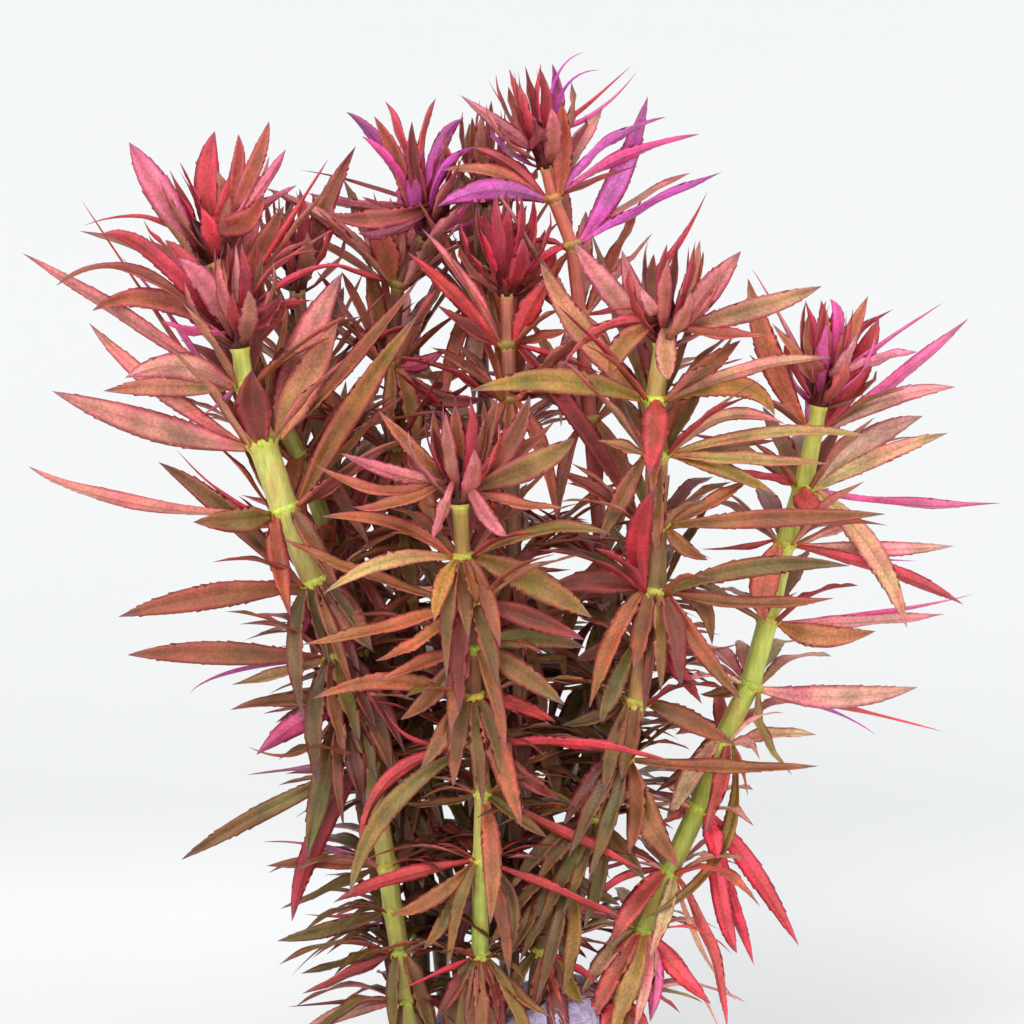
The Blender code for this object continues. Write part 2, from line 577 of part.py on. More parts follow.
class Leaf:
    """A leaf's middle line, from its base through its middle to its tip, and how its blade is turned."""

    def __init__(self, base, middle, tip, width, turned, stations):
        self.base = base
        self.stations = stations
        self.tip = tip
        self.bend = 2 * middle - (base + tip) / 2
        self.width = width
        self.turned = turned
        chord = tip - base
        across = chord.cross(-VIEW_BACKWARD)
        self.sign = 1 if across.z >= 0 else -1

    def point(self, t):
        return (1 - t) ** 2 * self.base + 2 * t * (1 - t) * self.bend + t * t * self.tip

    def tangent(self, t):
        return ((1 - t) * (self.bend - self.base) + t * (self.tip - self.bend)).normalized()

    def facing(self, t):
        """The normal of the blade's upper side, as the table turns it."""
        tangent = self.tangent(t)
        if self.turned is None:
            return tangent.cross(Vector((0, 0, 1))).normalized().cross(tangent)
        side, amount = self.turned
        towards = -VIEW_BACKWARD
        towards = (towards - towards.dot(tangent) * tangent).normalized()
        upward = self.sign * tangent.cross(towards)
        return side * amount * towards + math.sqrt(1 - amount * amount) * upward

    def frame(self, t):
        """The blade's sideways direction and its upper side's normal, carried without a twist."""
        tangent = self.tangent(t)
        normal = self.facing(self.stations[0])
        normal = (normal - normal.dot(tangent) * tangent).normalized()
        return tangent.cross(normal), normal

    def section(self, t, spare=0.0):
        """The blade's two edges and its keel, which lies under the midrib."""
        side, normal = self.frame(t)
        outline = math.sin(math.pi * (OUTLINE_START + (1 - OUTLINE_START) * t)) ** OUTLINE_POWER
        half = self.width / 2 * outline + spare
        keel = LEAF_KEEL * (1 - KEEL_TAPER * t) + spare
        if t == 0:
            half = max(half, ROOT_HALF_WIDTH)
            keel = ROOT_KEEL
        middle = self.point(t)
        return (middle + half * side + spare * normal, middle - half * side + spare * normal,
                middle - keel * normal)


def seen_leaf(hub, axis, reach, row, shift):
    """A leaf given by its row in the table, on a hub of this radius, moved back by a shift."""
    right, down, middle_right, middle_down, seen_width, back, tone = row
    hub_back = hub.y / MM
    tip = place(right, down, hub_back + back + shift[0])
    middle = place(middle_right, middle_down, hub_back + MIDDLE_BACK * back + shift[1])
    outward = middle - hub
    outward = (outward - outward.dot(axis) * axis).normalized()
    width = max(seen_width * GRID_STEP, LEAF_LEAST_WIDTH)
    facing = -1 if tone in SHOWS_UNDERSIDE else 1
    turned = (facing, seen_width * GRID_STEP / width)
    stations = THIN_LEAF_STATIONS if seen_width < THIN_LEAF_WIDTH else LEAF_STATIONS
    return Leaf(hub + outward * reach, middle, tip, width, turned, stations)


def spare_leaf(hub, axis, reach, bearing, turn):
    """A leaf on the side that the table doesn't list, lower and more level the older it is."""
    angle = math.radians(bearing + turn)
    flat = Vector((math.cos(angle), math.sin(angle), 0))
    outward = (flat - flat.dot(axis) * axis).normalized()
    age = 1 - min(1, hub.z / YOUNGEST_HEIGHT)
    spread = SPARE_LENGTH_SPREAD * math.sin(SPARE_LENGTH_RHYTHM * bearing) ** 2
    length = SPARE_LEAF_LENGTH * (SPARE_LENGTH_LEAST + spread)
    middle, tip = [
        hub + length * (out * flat + Vector((0, 0, up - lower * age)))
        for out, up, lower in (SPARE_MIDDLE, SPARE_TIP)
    ]
    return Leaf(hub + outward * reach, middle, tip, SPARE_LEAF_WIDTH, None, THIN_LEAF_STATIONS)


def box_of(points):
    low = Vector([min(point[i] for point in points) for i in range(3)])
    high = Vector([max(point[i] for point in points) for i in range(3)])
    return low, high


class Crowding:
    """What has been placed so far, to keep each new leaf clear of all that it doesn't grow from."""

    def __init__(self):
        self.placed = []

    def add(self, owner, body, outer=None):
        low, high = box_of(body[0])
        outer_tree = BVHTree.FromPolygons(*outer) if outer else None
        self.placed.append((owner, low, high, BVHTree.FromPolygons(*body), outer_tree))

    def clear(self, owner, body, outer):
        """Whether nothing of another piece crosses this leaf, and no leaf of its own its outer part."""
        low, high = box_of(body[0])
        whole_tree = BVHTree.FromPolygons(*body)
        outer_tree = BVHTree.FromPolygons(*outer)
        for other, other_low, other_high, other_whole, other_outer in self.placed:
            if any(low[i] > other_high[i] or high[i] < other_low[i] for i in range(3)):
                continue
            if other != owner and whole_tree.overlap(other_whole):
                return False
            if other == owner and other_outer and outer_tree.overlap(other_outer):
                return False
        return True


class Face:
    """A four-sided face of a body that a leaf may grow from."""

    def __init__(self, polygon, vertices):
        self.index = polygon.index
        self.centre = polygon.center.copy()
        self.normal = polygon.normal.copy()
        self.corners = [vertices[i].co.copy() for i in polygon.vertices]


def faces_of(body):
    return [Face(polygon, body.data.vertices) for polygon in body.data.polygons
            if len(polygon.vertices) == 4]


class Root:
    """How a leaf grows out of a face: the face's corners joined to those of its first station."""

    def __init__(self, face, leaf):
        self.face = face
        self.leaf = leaf
        ring = leaf.section(leaf.stations[0])[::-1]
        ring_middle = sum(ring, Vector()) / 3
        fits = []
        for turn in range(3):
            for double in range(4):
                ends = [((double + k) % 4, (turn + max(0, k - 1)) % 3) for k in range(4)]
                stretch = sum((face.corners[i] - ring[j]).length for i, j in ends) / MM
                turned_in = share_turned_in(face, ring, ring_middle, ends)
                fits.append((stretch + TURNED_IN_COST * turned_in, turn, double, ends))
        cost, _, _, self.ends = min(fits, key=lambda fit: fit[:3])
        away = (ring_middle - face.centre).normalized()
        self.cost = cost + FACING_COST * max(0, FACING_WANTED - face.normal.dot(away))

    def body(self, share, spare=0.0):
        """The leaf from this share of its first stretch on, as points and faces."""
        rings = [self.leaf.section(t, spare)[::-1] for t in self.leaf.stations]
        near = [self.face.corners[i].lerp(rings[0][j], share) for i, j in self.ends]
        loops = [near] + [[ring[j] for _, j in self.ends] for ring in rings]
        return loft(loops, self.leaf.tip + self.leaf.tangent(1) * spare)


def share_turned_in(face, ring, ring_middle, ends):
    """How much of a leaf's first stretch would face its own middle line."""
    whole = turned_in = 0
    for k in range(4):
        i, j = ends[k]
        next_i, next_j = ends[(k + 1) % 4]
        near, next_near, next_far, far = face.corners[i], face.corners[next_i], ring[next_j], ring[j]
        for triangle, level in (((near, next_near, next_far), 1 / 3), ((near, next_far, far), 2 / 3)):
            normal = (triangle[1] - triangle[0]).cross(triangle[2] - triangle[0])
            middle = face.centre.lerp(ring_middle, level)
            whole += normal.length
            if normal.dot(sum(triangle, Vector()) / 3 - middle) < 0:
                turned_in += normal.length
    return turned_in / whole


def settle_leaf(crowding, owner, free, candidates):
    """The root of the first of these leaves that is clear of what stands already, or None."""
    leaves = list(candidates)
    for share in ROOT_SHARES:
        for leaf in leaves:
            aim = leaf.point(ROOT_AIM)
            near = sorted(free, key=lambda face: ((face.centre - aim).length, face.index))
            roots = [Root(face, leaf) for face in near[:ROOT_CHOICES]]
            roots.sort(key=lambda root: (root.cost, root.face.index))
            for root in roots[:ROOT_TRIES]:
                if root.cost > roots[0].cost + ROOT_COST_SPREAD:
                    break
                if crowding.clear(owner, root.body(0, CLEARANCE), root.body(share, CLEARANCE)):
                    crowding.add(owner, root.body(0), root.body(share))
                    free.remove(root.face)
                    return root
    return None


def grow_leaves(crowding, owner, free, path, down, rows, bearings, reach, heights):
    """The roots of the leaves of one whorl or crown, on the free faces of its body."""
    axis = stem_axis(path, down)
    hub = stem_place(path, down)
    grown = []
    for row, height in zip(rows, heights):
        candidates = [seen_leaf(hub + axis * height, axis, reach, row, shift) for shift in SHIFTS]
        grown.append(settle_leaf(crowding, owner, free, candidates))
        if grown[-1] is None:
            print("no room for a leaf of", owner, row)
    for bearing in bearings:
        candidates = [spare_leaf(hub, axis, reach, bearing, turn) for turn in TURNS]
        grown.append(settle_leaf(crowding, owner, free, candidates))
        if grown[-1] is None:
            print("no room for a spare leaf of", owner, bearing)
    return [root for root in grown if root]


def grow_from_face(shape, face, root):
    """Lofts a leaf out of the face of its root, which it takes the place of."""
    verts = list(face.verts)
    shape.faces.remove(face)
    rings = [[shape.verts.new(point) for point in root.leaf.section(t)[::-1]]
             for t in root.leaf.stations]
    for k in range(4):
        i, corner = root.ends[k]
        next_i, next_corner = root.ends[(k + 1) % 4]
        shape.faces.new((verts[i], verts[next_i], rings[0][next_corner]))
        if corner != next_corner:
            shape.faces.new((verts[i], rings[0][next_corner], rings[0][corner]))
    for inner, outer in zip(rings, rings[1:]):
        for k in range(3):
            j = (k + 1) % 3
            shape.faces.new((inner[k], inner[j], outer[j]))
            shape.faces.new((inner[k], outer[j], outer[k]))
    tip = shape.verts.new(root.leaf.tip)
    for k in range(3):
        shape.faces.new((rings[-1][k], rings[-1][(k + 1) % 3], tip))


def attach_leaves(body, roots):
    shape = bmesh.new()
    shape.from_mesh(body.data)
    shape.faces.ensure_lookup_table()
    for face, root in [(shape.faces[root.face.index], root) for root in roots]:
        grow_from_face(shape, face, root)
    shape.normal_update()
    shape.to_mesh(body.data)
    shape.free()


def evaluated_mesh(thing):
    graph = bpy.context.evaluated_depsgraph_get()
    return bpy.data.meshes.new_from_object(thing.evaluated_get(graph))


def stem_tube(name, path, collection, low_whorls=(), extra_radius=0.0, extra_length=0.0):
    """A tapering tube along the stem, as a closed mesh, with a short band of faces at each low whorl."""
    downs = [spot[1] for spot in path if all(abs(spot[1] - low) > LOW_BAND for low in low_whorls)]
    downs += [low + way * LOW_BAND for low in low_whorls for way in (-1, 1)]
    downs.sort()
    points = [stem_place(path, down) for down in downs]
    points[-1] = points[-1] + (points[-1] - points[-2]).normalized() * extra_length
    curve = bpy.data.curves.new(name, "CURVE")
    curve.dimensions = "3D"
    curve.bevel_depth = 1.0
    curve.bevel_resolution = STEM_BEVEL_RESOLUTION
    curve.use_fill_caps = True
    curve.twist_mode = "MINIMUM"
    spline = curve.splines.new("POLY")
    spline.points.add(len(points) - 1)
    for control, point, down in zip(spline.points, points, downs):
        control.co = (*point, 1)
        control.radius = stem_radius(path, down) + extra_radius
    tube = bpy.data.objects.new(name + "_line", curve)
    collection.objects.link(tube)
    mesh = evaluated_mesh(tube)
    bpy.data.objects.remove(tube, do_unlink=True)
    shape = bmesh.new()
    shape.from_mesh(mesh)
    bmesh.ops.remove_doubles(shape, verts=shape.verts, dist=TINY)
    bmesh.ops.recalc_face_normals(shape, faces=shape.faces)
    shape.to_mesh(mesh)
    shape.free()
    stem = bpy.data.objects.new(name, mesh)
    collection.objects.link(stem)
    return stem


def body_of(thing):
    points = [vertex.co.copy() for vertex in thing.data.vertices]
    return points, [tuple(face.vertices) for face in thing.data.polygons]


def make_collar(name, path, down, sides, collection):
    """The ring round a stem that a whorl's leaves grow from."""
    inner = (stem_radius(path, down) + GAP) / math.cos(math.pi / sides)
    ring = [(inner, -0.5), (inner + COLLAR_WALL, -0.5), (inner + COLLAR_WALL, 0.5), (inner, 0.5)]
    shape = bmesh.new()
    turn = Vector((0, 0, 1)).rotation_difference(stem_axis(path, down)).to_matrix().to_4x4()
    matrix = Matrix.Translation(stem_place(path, down)) @ turn
    loops = []
    for k in range(sides):
        angle = 2 * math.pi * k / sides
        loops.append([shape.verts.new(matrix @ Vector((r * math.cos(angle), r * math.sin(angle),
                                                       h * COLLAR_HEIGHT))) for r, h in ring])
    for k in range(sides):
        here, beyond = loops[k], loops[(k + 1) % sides]
        for i in range(4):
            j = (i + 1) % 4
            shape.faces.new((here[i], beyond[i], beyond[j], here[j]))
    bmesh.ops.recalc_face_normals(shape, faces=shape.faces)
    mesh = bpy.data.meshes.new(name)
    shape.to_mesh(mesh)
    shape.free()
    collar = bpy.data.objects.new(name, mesh)
    collection.objects.link(collar)
    return collar


def make_bud(name, path, collection):
    """The packed young leaf bases on top of a stem, which a crown's leaves grow from."""
    axis = stem_axis(path, path[0][1])
    foot = stem_place(path, path[0][1]) + axis * GAP
    turn = Vector((0, 0, 1)).rotation_difference(axis).to_matrix()
    loops = []
    for height, radius in BUD_PROFILE:
        loops.append([
            foot + turn @ Vector((
                radius * MM * math.cos(2 * math.pi * k / BUD_SIDES),
                radius * MM * math.sin(2 * math.pi * k / BUD_SIDES),
                height * MM,
            ))
            for k in range(BUD_SIDES)
        ])
    return mesh_object(name, *loft(loops, halved=False), collection)


def make_plug(collection):
    """A rounded, uneven wad with a flat underside, higher at its right than at its left."""
    bpy.ops.mesh.primitive_uv_sphere_add(segments=PLUG_SEGMENTS, ring_count=PLUG_RINGS, radius=1)
    plug = bpy.context.active_object
    plug.name = "rock_wool_plug"
    plug.data.name = "rock_wool_plug"
    for old in list(plug.users_collection):
        old.objects.unlink(plug)
    collection.objects.link(plug)
    for vertex in plug.data.vertices:
        x, y, z = vertex.co
        angle = math.atan2(y, x)
        ripple = 1 + sum(size * math.sin(count * angle + start + twist * z)
                         for size, count, start, twist in PLUG_WAVES)
        middle = max(math.hypot(x, y), TINY)
        outward = min(1, middle ** PLUG_SIDE_FULLNESS) * ripple / middle
        rise = (x - PLUG_RISE_START) / PLUG_RISE_WIDTH
        fall = (PLUG_FALL_END - x) / PLUG_FALL_WIDTH
        top = PLUG_HEIGHT_LEFT + (PLUG_HEIGHT - PLUG_HEIGHT_LEFT) * max(0, min(1, rise, fall))
        size, across, start, deep = PLUG_LUMPS
        lump = size * math.sin(across * x + start) * math.sin(deep * y) * max(0, z)
        height = top * (0.5 + PLUG_SQUARENESS * z) + lump
        vertex.co = (x * outward * PLUG_RADIUS_ACROSS, y * outward * PLUG_RADIUS_DEEP,
                     max(0, min(height, top)))
    return plug


def cut_sockets(plug, cutters):
    cut = plug.modifiers.new("stem sockets", "BOOLEAN")
    cut.operation = "DIFFERENCE"
    cut.solver = "EXACT"
    cut.operand_type = "COLLECTION"
    cut.collection = cutters


def paint(thing, name, look):
    thing.data.materials.clear()
    thing.data.materials.append(make_material(name, *look))


def main():
    clear_scene()
    bunch = make_collection("aquarium_stem_bunch")
    helpers = make_collection("socket_cutters", hidden=True)
    crowding = Crowding()
    plug = make_plug(bunch)
    crowding.add(plug.name, body_of(plug))
    bodies = {}
    for shoot, parts in SHOOTS.items():
        path = parts["stem"]
        low_downs = [low[0] for low in parts["low"]]
        stem = stem_tube(shoot + "_stem", path, bunch, low_downs)
        cutter = stem_tube(shoot + "_socket", path, helpers, (), GAP, GAP)
        cutter.display_type = "WIRE"
        cutter.hide_render = True
        pieces = [stem, make_bud(shoot + "_crown", path, bunch)]
        for number, (down, rows, bearings) in enumerate(parts["whorls"], start=1):
            sides = max(COLLAR_FEWEST_SIDES, len(rows) + len(bearings))
            pieces.append(make_collar(f"{shoot}_whorl_{number}", path, down, sides, bunch))
        for piece in pieces:
            crowding.add(piece.name, body_of(piece))
            bodies[piece.name] = piece
    grown = {name: [] for name in bodies}
    free = {name: faces_of(body) for name, body in bodies.items()}
    for shoot, parts in SHOOTS.items():
        path = parts["stem"]
        rows = parts["crown"]
        name = shoot + "_crown"
        heights = [CROWN_LOWEST_LEAF + CROWN_LEAVES_RISE * i / len(rows) for i in range(len(rows))]
        grown[name] += grow_leaves(crowding, name, free[name], path, path[0][1], rows, (),
                                   CROWN_REACH, heights)
        for number, (down, rows, bearings) in enumerate(parts["whorls"], start=1):
            name = f"{shoot}_whorl_{number}"
            reach = stem_radius(path, down) + GAP + COLLAR_WALL
            grown[name] += grow_leaves(crowding, name, free[name], path, down, rows, bearings,
                                       reach, [0] * len(rows))
        for down, rows, bearings in parts["low"]:
            name = shoot + "_stem"
            reach = stem_radius(path, down)
            grown[name] += grow_leaves(crowding, name, free[name], path, down, rows, bearings,
                                       reach, [0] * len(rows))
    for name, body in bodies.items():
        attach_leaves(body, grown[name])
        paint(body, name, LOOKS.get(name.rsplit("_", 1)[1], LEAF_BROWN))
    paint(plug, "rock_wool", ROCK_WOOL)
    cut_sockets(plug, helpers)


main()
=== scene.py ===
import math
import random

import bpy
import numpy as np
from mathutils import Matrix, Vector, noise
from mathutils.kdtree import KDTree


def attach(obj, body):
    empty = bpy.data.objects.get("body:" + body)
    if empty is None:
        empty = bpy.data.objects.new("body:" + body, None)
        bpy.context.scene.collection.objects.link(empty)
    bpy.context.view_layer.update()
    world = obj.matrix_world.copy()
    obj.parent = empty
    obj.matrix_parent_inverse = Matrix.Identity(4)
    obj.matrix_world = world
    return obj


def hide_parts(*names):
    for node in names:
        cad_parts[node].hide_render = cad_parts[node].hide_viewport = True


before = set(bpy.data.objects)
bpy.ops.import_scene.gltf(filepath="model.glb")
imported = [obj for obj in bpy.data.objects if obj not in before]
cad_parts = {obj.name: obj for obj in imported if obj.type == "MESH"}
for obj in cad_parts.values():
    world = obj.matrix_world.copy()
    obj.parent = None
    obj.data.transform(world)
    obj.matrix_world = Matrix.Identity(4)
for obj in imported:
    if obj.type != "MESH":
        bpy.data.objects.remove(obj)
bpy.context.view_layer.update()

# A bunch of leafy aquarium stems standing in a plug of rock wool.
# Every shoot is placed on the same quarter-millimetre grid as its solids:
# steps right, steps down, then millimetres back from the middle plane.

mm = 0.001
view = {
    "gridStep": 0.25 * mm,
    "gridMiddle": 512,
    "middleHeight": 0.154,
    "distance": 1.9,
    "tilt": math.radians(7),
    "frameWidth": 0.256,
    "sensor": 36,
}
backward = Vector((0, math.cos(view["tilt"]), -math.sin(view["tilt"])))
towardsCamera = -backward

solid = {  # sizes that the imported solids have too
    "gap": 0.35 * mm,
    "axisSpan": 12,
    "collarWall": 1.0 * mm,
    "crownReach": 2.4 * mm,
    "crownLowest": 1.5 * mm,
    "crownRise": 9 * mm,
    "keel": 0.9 * mm,
    "leastWidth": 4.0 * mm,
    "thinLeaf": 12,
    "turnedAt": (0.34, 0.5),
    "middleBack": 0.55,
    "tipMatch": 0.02 * mm,  # how near a packed corner has to be to count as a leaf's tip
    "spareLength": 36 * mm,
    "spareShortest": 0.82,
    "spareVaries": 0.3,
    "spareTurns": 2.4,
    "spareWidth": 5 * mm,
    "spareMiddle": (0.5, 0.36, 0.30),
    "spareTip": (0.95, 0.62, 0.80),
    "youngestHeight": 270 * mm,
}

# How far back a leaf was moved, in mm, to pass clear of its neighbours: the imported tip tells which.
shifts = (
    (0, 0), (3, 3), (-3, -3), (0.5, 5), (-0.5, -5), (6, 4), (-6, -4), (9, 8), (-9, -8), (1, 9), (-1, -9),
    (14, 10), (-14, -10), (2, 13), (-2, -13), (19, 15), (-19, -15), (12, 2), (-12, -2),
)
turns = (0, 8, -8, 16, -16, 24, -24, 33, -33, 44, -44, 58, -58)

